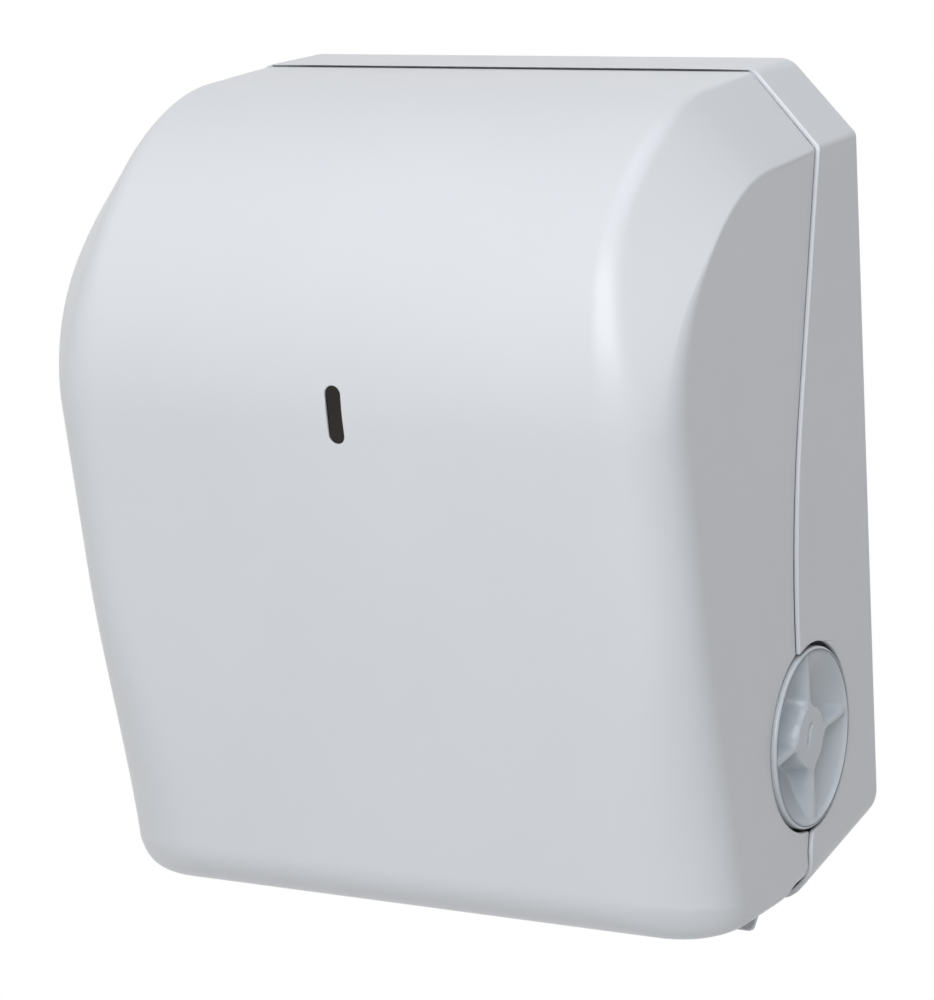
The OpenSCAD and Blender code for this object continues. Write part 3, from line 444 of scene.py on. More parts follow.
def slab(name, outline, to_space, low, high, edge=0.0):
    """An outline with thickness; to_space(u, v, w) places it, and w runs from low to high."""
    obj = panel(name, [to_space(p[0], p[1], low) for p in outline])
    push = (Vector(to_space(0, 0, high)) - Vector(to_space(0, 0, low))) * MM
    with editing(obj):
        bpy.ops.mesh.extrude_region_move(TRANSFORM_OT_translate={"value": push})
    weld(obj)
    if edge:
        ease(obj, edge)
    return obj


def lathe(name, profile, to_space, steps=64):
    """A turned piece: profile of [along, radius]; to_space(w, u, v) places it."""
    def place(i, j):
        turn = 2 * math.pi * i / steps
        along, radius = profile[j]
        return to_space(along, radius * math.cos(turn), radius * math.sin(turn))
    return weld(grid(name, steps, len(profile) - 1, place))


def wire(name, path, radius, sides=12):
    """Round wire along points in millimetres."""
    points = [Vector(p) for p in path]
    tangents = []
    for k in range(len(points)):
        a = points[max(0, k - 1)]
        b = points[min(len(points) - 1, k + 1)]
        tangents.append((b - a).normalized())
    normal = tangents[0].orthogonal().normalized()
    normals = []
    for t in tangents:
        normal = (normal - t * normal.dot(t)).normalized()
        normals.append(normal)

    def place(i, j):
        turn = 2 * math.pi * i / sides
        side = tangents[j].cross(normals[j])
        return points[j] + (normals[j] * math.cos(turn) + side * math.sin(turn)) * radius
    return weld(grid(name, sides, len(points) - 1, place), fill=True)


def settle(obj, body, slot, material, *nodes):
    """Smooths a finished piece, gives it its finish and ties it to the frame."""
    alone(obj)
    bpy.ops.object.shade_smooth_by_angle(angle=math.radians(SMOOTH))
    apply(obj, "WEIGHTED_NORMAL", mode="FACE_AREA", weight=50, keep_sharp=True)
    obj.data.materials.clear()
    obj.data.materials.append(material)
    if body:
        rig.ride(obj, body)
    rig.slot(obj, slot)
    if nodes:
        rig.replaces(obj, *nodes)
    return obj


def along_x(y0, z0):
    return lambda w, u, v: (w, y0 + u, z0 + v)


def along_y(x0, z0):
    return lambda w, u, v: (x0 + u, w, z0 + v)


def along_z(x0, y0):
    return lambda w, u, v: (x0 + u, y0 + v, w)


def turned(name, profile, to_space, steps=64):
    """A lathe piece from [along, radius, rounding] corners."""
    return lathe(name, softened(profile), to_space, steps)


def stadium(width, tall, steps=16):
    """Outline of an upright slot."""
    points = []
    for k in range(2 * steps + 2):
        turn = math.pi * (k - (k > steps)) / steps
        rise = (tall - width) / 2 * (1 if k <= steps else -1)
        points.append((width / 2 * math.cos(turn), rise + width / 2 * math.sin(turn)))
    return points


def sheet_x(u, v, w):
    return (w, u, v)


def sheet_y(u, v, w):
    return (u, w, v)


def sheet_z(u, v, w):
    return (u, v, w)


# Main lines of the case and the cover, in millimetres

class Lines:
    """The case's outline, the cover's profile and the seam between them."""
    # The case: its front plane, how it narrows to the wall, its corners and the drop of its lower corners
    case_front = 99
    draft = 2.5
    top_fall = 1
    back_wall = 3
    undercut = 5.5
    front_crowns = (3, 3)
    back_crowns = (12, 5)
    corner = 23
    foot_wide = 19
    foot_high = 22
    foot_round = 18
    foot_swell = 4
    swell_across = (136, 152)
    swell_high = 70
    swell_fade = 50
    # The seam from the top to the bottom
    seam_top_y = -43.7
    shoulder_y = -46
    seam_lean = math.radians(15)
    plumb_y = -90.7
    plumb_z = -64
    seam_low_y = -84.8
    seam_low_rise = 22
    seam_foot_y = -83
    seam_foot_rise = 5
    # The cover's edge under the knob and round the hinge
    ear_drop = 12
    ear_reach = 12.5
    ear_low_y = -86.6
    ear_high_y = -83.4
    no_ear_y = -200
    hinge_y = -94
    hinge_z = -183
    hinge_r = 9
    # The cover's profile, with angles in degrees from level at the top, and the stations along it
    crown_a = 1.0
    chin_a = 177.4
    foot_y = -91
    crown_steps = 8
    nose_steps = 56
    front_steps = 20
    chin_steps = 24
    foot_steps = 12
    # The cover's edges: where they change from creased to round, and their sizes
    crown_crease = 4
    crease_full_a = 30
    soft_from = 43
    soft_to = 103
    slim_from = 25
    swell_from = 0.4
    front_round = 28
    chin_wide = 54
    chin_deep = 37
    chin_side_r = 9
    foot_deep = 9.5
    foot_lift = 6.5
    side_proud = 1.7
    lean_from_y = -80
    lean_round = 1.2
    # The axes of the roll, of its arms and of the drum, the window and the knob's hole
    roll_y = -107
    roll_drop = 116.5
    arm_x = 116
    arm_y = -14
    window_drop = 16
    drum_y = -79.5
    drum_rise = 78
    hole_back = 0.9

    def __init__(self):
        s = bpy.context.scene.dispenser_sizes
        rim = s.rim_proud / MM
        self.half = s.width / MM / 2
        self.top = s.height / MM / 2
        self.bottom = -self.top
        self.wall = s.wall / MM
        self.chamfer_w = s.chamfer_width / MM
        self.chamfer_h = s.chamfer_height / MM
        self.gap = s.seam_gap / MM
        self.cover_half = self.half - rim
        self.flat_half = self.cover_half - self.chamfer_w
        self.case_flat = self.flat_half + rim
        self.lean = math.tan(s.side_lean)
        self.crease = s.crease_radius / MM
        self.edge = s.edge_radius / MM
        self.nose_r = s.nose_radius / MM
        self.chin_r = s.chin_radius / MM
        self.front_a = 90 + math.degrees(s.front_slope)
        self.nose_y = -s.nose_depth / MM
        crown = math.tan(math.radians(self.crown_a))
        self.nose_z = self.top - rim - self.nose_r + (self.nose_y - self.shoulder_y) * crown
        self.foot_z = self.bottom + rim
        self.roll_z = self.top - self.roll_drop
        self.window_z = self.roll_z - self.window_drop
        self.knob_hole = (s.knob_radius + s.knob_gap) / MM
        self.hole_y = self.drum_y + self.hole_back
        self.drum_z = self.bottom + self.drum_rise
        self.set_seam()
        self.set_profile()

    def set_seam(self):
        """The case's front edge: a lean from the shoulder that bows to plumb beside the knob."""
        slant = math.tan(self.seam_lean)
        self.shoulder_z = self.top - self.chamfer_h
        drop = self.shoulder_z - self.plumb_z
        self.bow_r = ((-self.plumb_y + self.shoulder_y - drop * slant)
                      / (1 - math.cos(self.seam_lean) - math.sin(self.seam_lean) * slant))
        self.bow_top = self.plumb_z + self.bow_r * math.sin(self.seam_lean)

    def seam_y(self, z):
        if z > self.shoulder_z:
            return mix(self.shoulder_y, self.seam_top_y, (z - self.shoulder_z) / self.chamfer_h)
        if z > self.bow_top:
            return self.shoulder_y - (self.shoulder_z - z) * math.tan(self.seam_lean)
        if z > self.plumb_z:
            return self.plumb_y + self.bow_r - math.sqrt(self.bow_r ** 2 - (z - self.plumb_z) ** 2)
        low = self.bottom + self.seam_low_rise
        if z > low:
            return mix(self.seam_low_y, self.plumb_y, ramp(z, low, self.plumb_z))
        return mix(self.seam_foot_y, self.seam_low_y, ramp(z, self.bottom + self.seam_foot_rise, low))

    def cover_seam_y(self, z):
        """The cover's edge: along the seam, and below the hinge's axis round it, so that it can swing."""
        edge = self.seam_y(z) - self.gap
        if z >= self.hinge_z:
            return edge
        reach = self.hinge_r ** 2 - (self.hinge_z - z) ** 2
        return max(self.foot_y, min(edge, self.hinge_y + math.sqrt(max(reach, 0))))

    def ear_y(self, z):
        """The cover's edge where it reaches back under the knob."""
        low = self.drum_z - self.knob_hole - self.ear_drop
        if z < low or z > low + self.ear_reach:
            return self.no_ear_y
        return mix(self.ear_low_y, self.ear_high_y, (z - low) / self.ear_drop)

    def normal(self, a):
        a = math.radians(a)
        return Vector((-math.sin(a), math.cos(a)))

    def nose(self, a):
        return Vector((self.nose_y, self.nose_z)) + self.nose_r * self.normal(a)

    def corner_centre(self, front_depth, foot_depth, radius):
        """Centre of the chin's arc on a curve that lies these depths inside the front and the bottom."""
        n1 = self.normal(self.front_a)
        n2 = self.normal(self.chin_a)
        k1 = n1.dot(self.nose(self.front_a)) - front_depth - radius
        k2 = n2.dot(Vector((self.foot_y, self.foot_z))) - foot_depth - radius
        det = n1.x * n2.y - n1.y * n2.x
        return Vector(((k1 * n2.y - n1.y * k2) / det, (n1.x * k2 - k1 * n2.x) / det))

    def set_profile(self):
        """Stations over the nose, down the front and under the chin; each has the way to the side's edge."""
        self.stations = []
        n1 = self.normal(self.front_a)
        n2 = self.normal(self.chin_a)
        start = self.nose(self.crown_a)
        back_y = self.seam_y(self.top) - self.gap
        back = Vector((back_y, start.y + (back_y - start.x) * math.tan(math.radians(self.crown_a))))
        for i in range(self.crown_steps):
            self.station(back.lerp(start, i / self.crown_steps), self.crown_a)
        for i in range(self.nose_steps + 1):
            a = mix(self.crown_a, self.front_a, i / self.nose_steps)
            self.station(self.nose(a), a)
        end = self.nose(self.front_a)
        chin = self.corner_centre(0, 0, self.chin_r)
        side_chin = self.corner_centre(self.chin_deep, self.foot_deep, self.chin_side_r)
        first = chin + self.chin_r * n1
        down = (first - end).normalized()
        shift = down.dot(side_chin + self.chin_side_r * n1 - first)
        for i in range(1, self.front_steps):
            t = i / self.front_steps
            share = ramp(t, self.swell_from, 1)
            deep = mix(self.front_round, self.chin_deep, share)
            self.station(end.lerp(first, t), self.front_a, share, 0, shift * share * down - deep * n1)
        for i in range(self.chin_steps + 1):
            t = i / self.chin_steps
            a = mix(self.front_a, self.chin_a, t)
            p = chin + self.chin_r * self.normal(a)
            self.station(p, a, 1, ramp(t, 0.2, 1), side_chin + self.chin_side_r * self.normal(a) - p)
        last = chin + self.chin_r * n2
        foot = Vector((self.foot_y, self.foot_z))
        reach = side_chin + self.chin_side_r * n2 - last
        for i in range(1, self.foot_steps + 1):
            t = i / self.foot_steps
            lift = self.foot_lift * ramp(t, 0.6, 1)
            side = reach.lerp(-self.foot_deep * n2, t) - lift * n2
            self.station(last.lerp(foot, t), self.chin_a, 1, 1, side)

    def station(self, point, a, chin=0, foot=0, side=None):
        wide, deep = self.edge_size(a, chin, foot)
        if side is None:
            side = -deep * self.normal(a)
        self.stations.append((point, side, self.section(a, wide, deep)))

    def edge_size(self, a, chin, foot):
        """Width and depth of the edge beside the front where the profile has this angle."""
        wide = mix(mix(self.chamfer_w, self.chin_wide, chin), self.chamfer_w, foot)
        deep = mix(self.chamfer_h, self.front_round, ramp(a, self.slim_from, self.front_a))
        return wide, mix(mix(deep, self.chin_deep, chin), self.foot_deep, foot)

    def leaned(self, x, y):
        """Where a point comes to across: the cover's sides lean in to the front and stay inside the rim."""
        rim = self.half - self.draft * (1 + y / self.case_front) - self.side_proud
        lean = self.cover_half - self.lean * (self.lean_from_y - y)
        return x * soft_min(rim, lean, self.lean_round) / self.cover_half

    def section(self, a, wide, depth):
        """Half section [across, share of the depth] to the side, where the profile has this angle."""
        flat_half = self.cover_half - wide
        slope = math.atan2(depth, wide)
        soft = ramp(a, self.soft_from, self.soft_to)
        crease = mix(self.crown_crease, self.crease, ramp(a, self.crown_a, self.crease_full_a))
        before = crease * math.tan(slope / 2)
        after = self.edge * math.tan((math.pi / 2 - slope) / 2)

        def outer(t):
            """A point of the outer crease."""
            return self.cover_half - self.edge * (1 - math.sin(t)), depth + after - self.edge * math.cos(t)

        plain = []
        for k in range(11):
            t = slope * k / 10
            plain.append((flat_half - before + crease * math.sin(t), crease * (1 - math.cos(t))))
        x0, d0 = plain[-1]
        x1, d1 = outer(slope)
        for k in range(1, 4):
            plain.append((mix(x0, x1, k / 4), mix(d0, d1, k / 4)))
        for k in range(9):
            plain.append(outer(mix(slope, math.pi / 2, k / 8)))
        edge = []
        last = len(plain) - 1
        for k, (x, d) in enumerate(plain):
            t = math.pi / 2 * k / last
            x2 = flat_half + wide * math.sin(t)
            d2 = depth * (1 - math.cos(t))
            edge.append((mix(x, x2, soft), mix(d, d2, soft) / depth))
        flat = [(edge[0][0] * k / 12, 0.0) for k in range(12)]
        return flat + edge

    def swell(self, x, z):
        """How far the case's rim drops at its lower corners."""
        below = self.bottom + self.swell_high - z
        return self.foot_swell * ramp(x, *self.swell_across) * ramp(below, 0, self.swell_fade)

    def front_y(self, z):
        """The front's surface in the middle, at a height on the nose's lower end or the front."""
        lean = math.tan(math.radians(self.front_a - 90))
        end = self.nose(self.front_a)
        if z < end.y:
            return end.x + (end.y - z) * lean
        return self.nose_y - math.sqrt(self.nose_r ** 2 - (z - self.nose_z) ** 2)

    def outline(self, half, top, bottom, flat, square_foot, inner):
        """Right half of the case's outline at one depth, from the top's middle to the bottom's middle."""
        side_top = top - (half - flat) * self.chamfer_h / self.chamfer_w
        crowns = self.back_crowns if square_foot else self.front_crowns
        near, crown = [max(0.5, r - inner) for r in crowns]
        upper = rounded([(0, top, 0), (flat, top, near), (half, side_top, crown),
                         (half, bottom, 0), (0, bottom, 0)], 8)
        first = upper[1:10]
        second = upper[10:19]
        if square_foot:
            low = rounded([(half, top, 0), (half, bottom + self.foot_high, self.foot_round - inner),
                           (half - self.foot_wide, bottom, crown), (0, bottom, 0)], 12)[1:27]
        else:
            low = rounded([(half, top, 0), (half, bottom, self.corner - inner), (0, bottom, 0)], 25)[1:27]
        points = []
        for k in range(6):
            points.append(Vector((0, top)).lerp(first[0], k / 6))
        points += first
        for k in range(1, 6):
            points.append(first[-1].lerp(second[0], k / 6))
        points += second
        for k in range(1, 72):
            points.append(second[-1].lerp(low[0], k / 72))
        points += low
        for k in range(1, 7):
            points.append(low[-1].lerp(Vector((0, bottom)), k / 6))
        return points


# Materials

def feed(tree, node, **inputs):
    """Sets a node's inputs to a value or links them to an output; _ stands for a space in a name."""
    for name, value in inputs.items():
        socket = node.inputs[name.replace("_", " ")]
        if isinstance(value, bpy.types.NodeSocket):
            tree.links.new(value, socket)
        else:
            socket.default_value = value


def added(tree, kind, **inputs):
    """A new shader node of this kind."""
    node = tree.nodes.new("ShaderNode" + kind)
    feed(tree, node, **inputs)
    return node


def nodes_of(name):
    material = bpy.data.materials.new(name)
    material.use_nodes = True
    tree = material.node_tree
    return material, tree, tree.nodes["Principled BSDF"], added(tree, "TexCoord").outputs["Object"]


def noise(tree, place, scale, detail=4.0, rough=0.55, stretch=None):
    """Noise on object coordinates; scale counts its blots in a metre."""
    if stretch:
        place = added(tree, "Mapping", Vector=place, Scale=stretch).outputs["Vector"]
    return added(tree, "TexNoise", Vector=place, Scale=scale, Detail=detail, Roughness=rough).outputs["Fac"]


def tones(tree, value, dark, light, low=0.3, high=0.7):
    """Two tones of a colour, spread over a value."""
    node = added(tree, "ValToRGB", Fac=value)
    for element, place, rgb in zip(node.color_ramp.elements, (low, high), (dark, light)):
        element.position = place
        element.color = (*rgb, 1)
    return node.outputs["Color"]


def spread(tree, value, low, high):
    """A value's middle range, spread from low to high."""
    node = added(tree, "MapRange", Value=value, From_Min=0.3, From_Max=0.7, To_Min=low, To_Max=high)
    return node.outputs["Result"]


def bump(tree, shader, value, strength, depth_mm):
    node = added(tree, "Bump", Height=value, Strength=strength, Distance=depth_mm * MM)
    feed(tree, shader, Normal=node.outputs["Normal"])


def shade(rgb, factor):
    return tuple(min(1.0, c * factor) for c in rgb)


def moulded(name, rgb, gloss, drift=0.015, grain_mm=0.004, soft=0.0):
    """Moulded plastic: slow drift of tone, uneven gloss and a fine moulded skin."""
    material, tree, shader, place = nodes_of(name)
    slow = noise(tree, place, 9, 3)
    patch = noise(tree, place, 60, 5)
    feed(tree, shader, Base_Color=tones(tree, slow, shade(rgb, 1 - drift), shade(rgb, 1 + drift / 2)),
         Roughness=spread(tree, patch, gloss - 0.01, gloss + 0.02), IOR=1.5)
    bump(tree, shader, noise(tree, place, 420, 2, 0.5), 0.05, grain_mm)
    if soft:
        feed(tree, shader, Subsurface_Weight=soft, Subsurface_Radius=(0.002, 0.0018, 0.0015))
    return material


def metal(name, rgb, gloss, stretch):
    """Metal with fine lines along its length or round its turning."""
    material, tree, shader, place = nodes_of(name)
    lines = noise(tree, place, 260, 6, 0.65, stretch)
    blots = noise(tree, place, 45, 4)
    feed(tree, shader, Base_Color=tones(tree, blots, shade(rgb, 0.9), shade(rgb, 1.06)),
         Roughness=spread(tree, lines, gloss - 0.07, gloss + 0.1), Metallic=1.0)
    bump(tree, shader, lines, 0.15, 0.02)
    return material


def galvanised(name, rgb):
    """Zinc sheet with its spangle."""
    material, tree, shader, place = nodes_of(name)
    cells = added(tree, "TexVoronoi", Vector=place, Scale=160)
    grey = added(tree, "RGBToBW", Color=cells.outputs["Color"]).outputs["Val"]
    feed(tree, shader, Base_Color=tones(tree, grey, shade(rgb, 0.86), shade(rgb, 1.08)),
         Roughness=spread(tree, grey, 0.34, 0.48), Metallic=1.0)
    bump(tree, shader, noise(tree, place, 500, 4), 0.1, 0.02)
    return material


def rubbery(name, rgb):
    """Dark rubber with a dusty, ground surface."""
    material, tree, shader, place = nodes_of(name)
    dust = noise(tree, place, 120, 6, 0.7)
    feed(tree, shader, Base_Color=tones(tree, dust, rgb, shade(rgb, 2.0), 0.45, 0.75),
         Roughness=spread(tree, dust, 0.62, 0.8))
    bump(tree, shader, noise(tree, place, 900, 4, 0.7), 0.35, 0.05)
    return material


def smoked_with_painted_shade(name, rgb):
    """Smoked lens, almost black, with a polished face; it is opaque, so its near-black colour is partly the smoked
    plastic and partly painted shade of the case's inside behind it.
    """
    material, tree, shader, place = nodes_of(name)
    haze = noise(tree, place, 80, 4)
    feed(tree, shader, Base_Color=tones(tree, haze, rgb, shade(rgb, 1.8)),
         Roughness=spread(tree, haze, 0.1, 0.18), IOR=1.34)
    return material


finishes = {}


def set_finishes():
    c = bpy.context.scene.dispenser_colours
    finishes["cover"] = moulded("glossy_white_cover", c.shell, 0.31)
    finishes["case"] = moulded("glossy_white_case", c.shell, 0.36, 0.015, 0.006)
    finishes["knob"] = moulded("bluish_knob", c.knob, 0.19, 0.03)
    # The lens's near-black finish is partly smoked plastic and partly painted shade of the inside seen through the
    # window.
    finishes["lens"] = smoked_with_painted_shade("smoked_lens", c.lens)
    finishes["steel"] = metal("plated_steel", c.steel, 0.27, (1, 1, 1))
    finishes["turned"] = metal("turned_steel", c.steel, 0.36, (14, 1, 1))
    finishes["plate"] = galvanised("galvanised_frame", c.plate)
    finishes["track"] = moulded("dark_acetal", c.track, 0.42, 0.15, 0.01)
    finishes["nylon"] = moulded("pale_nylon", c.nylon, 0.42, 0.04, 0.01, 0.15)
    finishes["rubber"] = rubbery("ground_rubber", c.rubber)
    finishes["white"] = moulded("white_inner_plastic", shade(c.shell, 0.97), 0.4, 0.03, 0.01)


def keep(material, *nodes):
    """Gives CAD nodes that stay their finish."""
    for n in nodes:
        slots = frame["nodes"][n].data.materials
        slots.clear()
        slots.append(finishes[material])


# Operators

class DISPENSER_OT_finishes(bpy.types.Operator):
    """Makes the finishes and gives them to the CAD pieces that stay."""
    bl_idname = "dispenser.finishes"
    bl_label = "Finishes"

    def execute(self, context):
        set_finishes()
        keep("steel", "hinge_pins", "lock_ring_nut", "lock_cam", "lock_cam_nut", "knob_pin", "crank_disc",
             "crank_pin", "spring_post", "knife_blade", "cam_levers", "hub_clip_left", "hub_clip_right")
        keep("turned", "tie_rods", "drum_shaft", "knife_pivot", "pinch_shaft", "arm_pins",
             "hub_axle_left", "hub_axle_right")
        keep("plate", "side_plate_left", "side_plate_right")
        keep("track", "cam_track_left", "cam_track_right", "knife_holder")
        keep("nylon", "shaft_bushes", "pinch_blocks", "cam_rollers")
        keep("white", "drum_end_left", "drum_end_right")
        return {"FINISHED"}


class DISPENSER_OT_rear_case(bpy.types.Operator):
    """Models the case: a drafted box with chamfered corners, a proud rim and a hole for the knob."""
    bl_idname = "dispenser.rear_case"
    bl_label = "Rear case"
    edge = 0.7
    # The knob's hole: where it meets the seam, and the seam's edge below it
    meet_z = -72
    below_y = -82.2
    ear_y = -85.1
    ear_high = 10
    cut_low = 16
    cut_front_y = -130
    # The slots for the wall's screws
    slot_x = 90
    slot_z = 170
    slot_wide = 6
    slot_long = 12
    # The bosses for the frame, the ears for the arms and the ears for the hinge
    boss_x = 127
    boss_z = -62
    boss_pitch = 106
    arm_ear_rises = (-27, 21)
    arm_ear_tall = 6
    hinge_ear_x = (135.5, 140.5)
    ear_edge = 0.6

    def execute(self, context):
        lines = Lines()

        def ring(inset):
            back = lines.outline(lines.half - lines.draft - inset, lines.top - lines.top_fall - inset,
                                 lines.bottom + inset, lines.case_flat - lines.draft - inset / 2, True, inset)
            front = lines.outline(lines.half - inset, lines.top - inset, lines.bottom + inset,
                                  lines.case_flat - inset / 2, False, inset)
            return back, [Vector((p.x, p.y - lines.swell(p.x, p.y))) for p in front]

        def column(back, front, depths):
            """Points of one column from the wall to the seam, at shares of its depth."""
            t = 0.9
            for _ in range(12):
                z = mix(back.y, front.y, t)
                t = -lines.seam_y(z) / lines.case_front
            return [(mix(back.x, front.x, t * d), -t * d * lines.case_front, mix(back.y, front.y, t * d))
                    for d in depths]

        outer_back, outer_front = ring(0)
        inner_back, inner_front = ring(lines.wall)
        columns = []
        for k in range(len(outer_back)):
            outer = column(outer_back[k], outer_front[k], [d / 6 for d in range(7)])
            inner = column(inner_back[k], inner_front[k], [d / 6 for d in range(7)])
            x, y, z = inner[-1]
            if z > 0:
                fade = 1 - ramp(x, lines.case_flat - 10, lines.case_flat - 2)
                inner[-1] = (x, y + lines.undercut * fade, z)
            share = lines.back_wall / lines.case_front
            floor = (mix(inner_back[k].x, inner_front[k].x, share), -lines.back_wall,
                     mix(inner_back[k].y, inner_front[k].y, share))
            columns.append(outer + inner[:0:-1] + [floor])
        rows = len(columns[0]) - 1
        around = columns + [[(-x, y, z) for x, y, z in points] for points in columns[-2:0:-1]]
        count = len(around)
        case = weld(grid("rear_case_body", count, rows, lambda i, j: around[i % count][j]), fill=True)
        cut(case, self.knob_cut(lines))
        ease(case, self.edge, 3, SHARP)
        unite(case, self.fittings(lines))
        cut(case, *self.wall_slots(lines))
        settle(case, "base", "case_white", finishes["case"], "rear_case")
        return {"FINISHED"}

    def knob_cut(self, lines):
        """The knob's hole, with the round corner where its lower edge runs into the seam."""
        meet = (lines.seam_y(self.meet_z) - lines.hole_y) / lines.knob_hole
        first = math.degrees(math.acos(meet))
        turns = [math.radians(mix(first, -90, k / 90)) for k in range(91)]
        hole = [(lines.hole_y + lines.knob_hole * math.cos(t),
                 lines.drum_z + lines.knob_hole * math.sin(t), 0) for t in turns]
        low = lines.drum_z - lines.knob_hole
        end = low - self.cut_low
        seam = [(self.below_y, low, 3), (self.ear_y, low - self.ear_high, 4), (self.ear_y, end, 0)]
        front = [(self.cut_front_y, end, 0), (self.cut_front_y, hole[0][1], 0)]
        return slab("knob_cut", rounded(hole + seam + front, 10), sheet_x, lines.half - 25, lines.half + 10)

    def wall_slots(self, lines):
        slots = []
        for x in (-self.slot_x, self.slot_x):
            for z in (-self.slot_z, self.slot_z):
                outline = [(x + v, z + u) for u, v in stadium(self.slot_wide, self.slot_long)]
                slots.append(slab("wall_slot", outline, sheet_y, -lines.back_wall - 5, 4))
        return slots

    def fittings(self, lines):
        """Bosses for the frame, ears for the roll's arms and ears for the cover's hinge."""
        profile = [(-1.5, 0, 0), (-1.5, 8, 0), (-3.4, 7.6, 0), (-4.6, 5.8, 1.0), (-12, 5.5, 0.5), (-12, 0, 0)]
        boss = turned("frame_boss", profile, along_y(self.boss_x, self.boss_z), 40)
        pieces = [boss, copied(boss, "frame_boss_low", Matrix.Translation((0, 0, -self.boss_pitch * MM)))]
        ear = rounded([(110, -1.5, 0), (110, -20, 6), (122, -20, 6), (122, -1.5, 0)], 8)
        for rise in self.arm_ear_rises:
            low = lines.roll_z + rise
            pieces.append(slab("arm_ear", ear, sheet_z, low, low + self.arm_ear_tall, self.ear_edge))
        hinge = rounded([(-99, -178, 4.9), (-99, -188, 4.9), (-88, -191, 4),
                         (-72, -191, 0), (-72, -178, 3)], 8)
        pieces.append(slab("hinge_ear", hinge, sheet_x, *self.hinge_ear_x, self.ear_edge))
        pieces += [across(p, p.name + "_left") for p in pieces]
        return join(*pieces)


class DISPENSER_OT_front_cover(bpy.types.Operator):
    """Models the cover: nose, front and chin with bevelled edges, and the hook and hinge webs inside."""
    bl_idname = "dispenser.front_cover"
    bl_label = "Front cover"
    edge = 0.6
    side_steps = 500
    window_y = (-230, -190)
    window_edge = 0.5
    window_reach = 16
    way_half = 141
    way_y = (-60, -126)
    way_z = (-215, -178.5)
    web_x = (141.5, 145.5)
    hook_x = (-151.5, -146.5)
    root_x = (-162, -148)

    def execute(self, context):
        lines = Lines()
        wide = len(lines.stations[0][2]) - 1

        def place(i, j):
            point, reach, section = lines.stations[j]
            side = 1 if i >= wide else -1
            x, share = section[abs(i - wide)]
            y, z = point + share * reach
            if j in (0, rows):
                y = lines.cover_seam_y(z)
            return (side * lines.leaned(x, y), y, z)

        rows = len(lines.stations) - 1
        cover = grid("front_cover_shell", 2 * wide, rows, place)
        sides = []
        for side, col in ((1, 2 * wide), (-1, 0)):
            front = [place(col, j) for j in range(rows + 1)]
            low = front[-1][2]
            high = front[0][2]
            back = []
            for k in range(1, self.side_steps):
                z = mix(low, high, k / self.side_steps)
                y = lines.cover_seam_y(z)
                reach = lines.knob_hole ** 2 - (z - lines.drum_z) ** 2
                if side > 0:
                    y = max(y, lines.ear_y(z))
                if side > 0 and reach > 0:
                    y = min(y, lines.hole_y - math.sqrt(reach))
                back.append((side * lines.leaned(lines.cover_half, y), y, z))
            sides.append(panel("cover_side", front + back))
        join(cover, *sides)
        weld(cover)
        apply(cover, "SOLIDIFY", thickness=lines.wall * MM, offset=-1, use_even_offset=False)
        ease(cover, self.edge, 3, SHARP)
        unite(cover, self.fittings(lines))
        cut(cover, *self.openings(context, lines))
        window = (0, lines.front_y(lines.window_z), lines.window_z)
        ease_near(cover, self.window_edge, window, self.window_reach)
        settle(cover, "cover", "case_white", finishes["cover"], "front_cover")
        return {"FINISHED"}

    def openings(self, context, lines):
        """The level window's slot and the towel's way out."""
        s = context.scene.dispenser_sizes
        slot = [(x, lines.window_z + z) for x, z in stadium(s.window_width / MM, s.window_length / MM)]
        window = slab("window_cut", slot, sheet_y, *self.window_y)
        wide = self.way_half
        back, front = self.way_y
        way_out = rounded([(-wide, back, 0), (-wide, front, 4), (wide, front, 4), (wide, back, 0)], 6)
        return window, slab("exit_cut", way_out, sheet_z, *self.way_z)

    def fittings(self, lines):
        """The hinge webs, and on the left the hook that the lock's cam holds."""
        outline = rounded([(-88, -177, 5.9), (-131, -177, 4), (-131, -188.6, 0),
                           (-96, -188.6, 3), (-88, -187.6, 5)], 8)
        web = slab("hinge_web", outline, sheet_x, *self.web_x, 0.6)
        outline = rounded([(-51, 16, 1), (-46, 16, 1), (-46, 36, 2),
                           (-108, 36, 0), (-108, 31, 0), (-51, 31, 2)], 5)
        hook = slab("lock_hook", outline, sheet_x, *self.hook_x, 0.5)
        outline = [(-108, 31), (-108, 36), (-98, 36), (-98, 31)]
        unite(hook, slab("hook_root", outline, sheet_x, *self.root_x))
        return join(web, across(web, "hinge_web_left"), hook)


class DISPENSER_OT_level_window(bpy.types.Operator):
    """Models the smoked lens of the level window, set back in its slot; its opaque near-black finish is partly painted
    shade of the case's inside.
    """
    bl_idname = "dispenser.level_window"
    bl_label = "Level window"
    overlap = 0.4
    set_back = 0.9
    thick_to = 2.6
    edge = 0.3

    def execute(self, context):
        lines = Lines()
        s = context.scene.dispenser_sizes
        slot = stadium(s.window_width / MM + self.overlap, s.window_length / MM + self.overlap)
        outline = [(x, lines.window_z + z) for x, z in slot]
        lens = slab("window_lens", outline, lambda u, v, w: (u, lines.front_y(v) + w, v),
                    self.set_back, self.thick_to, self.edge)
        settle(lens, "cover", "smoked_lens", finishes["lens"], "level_window")
        return {"FINISHED"}


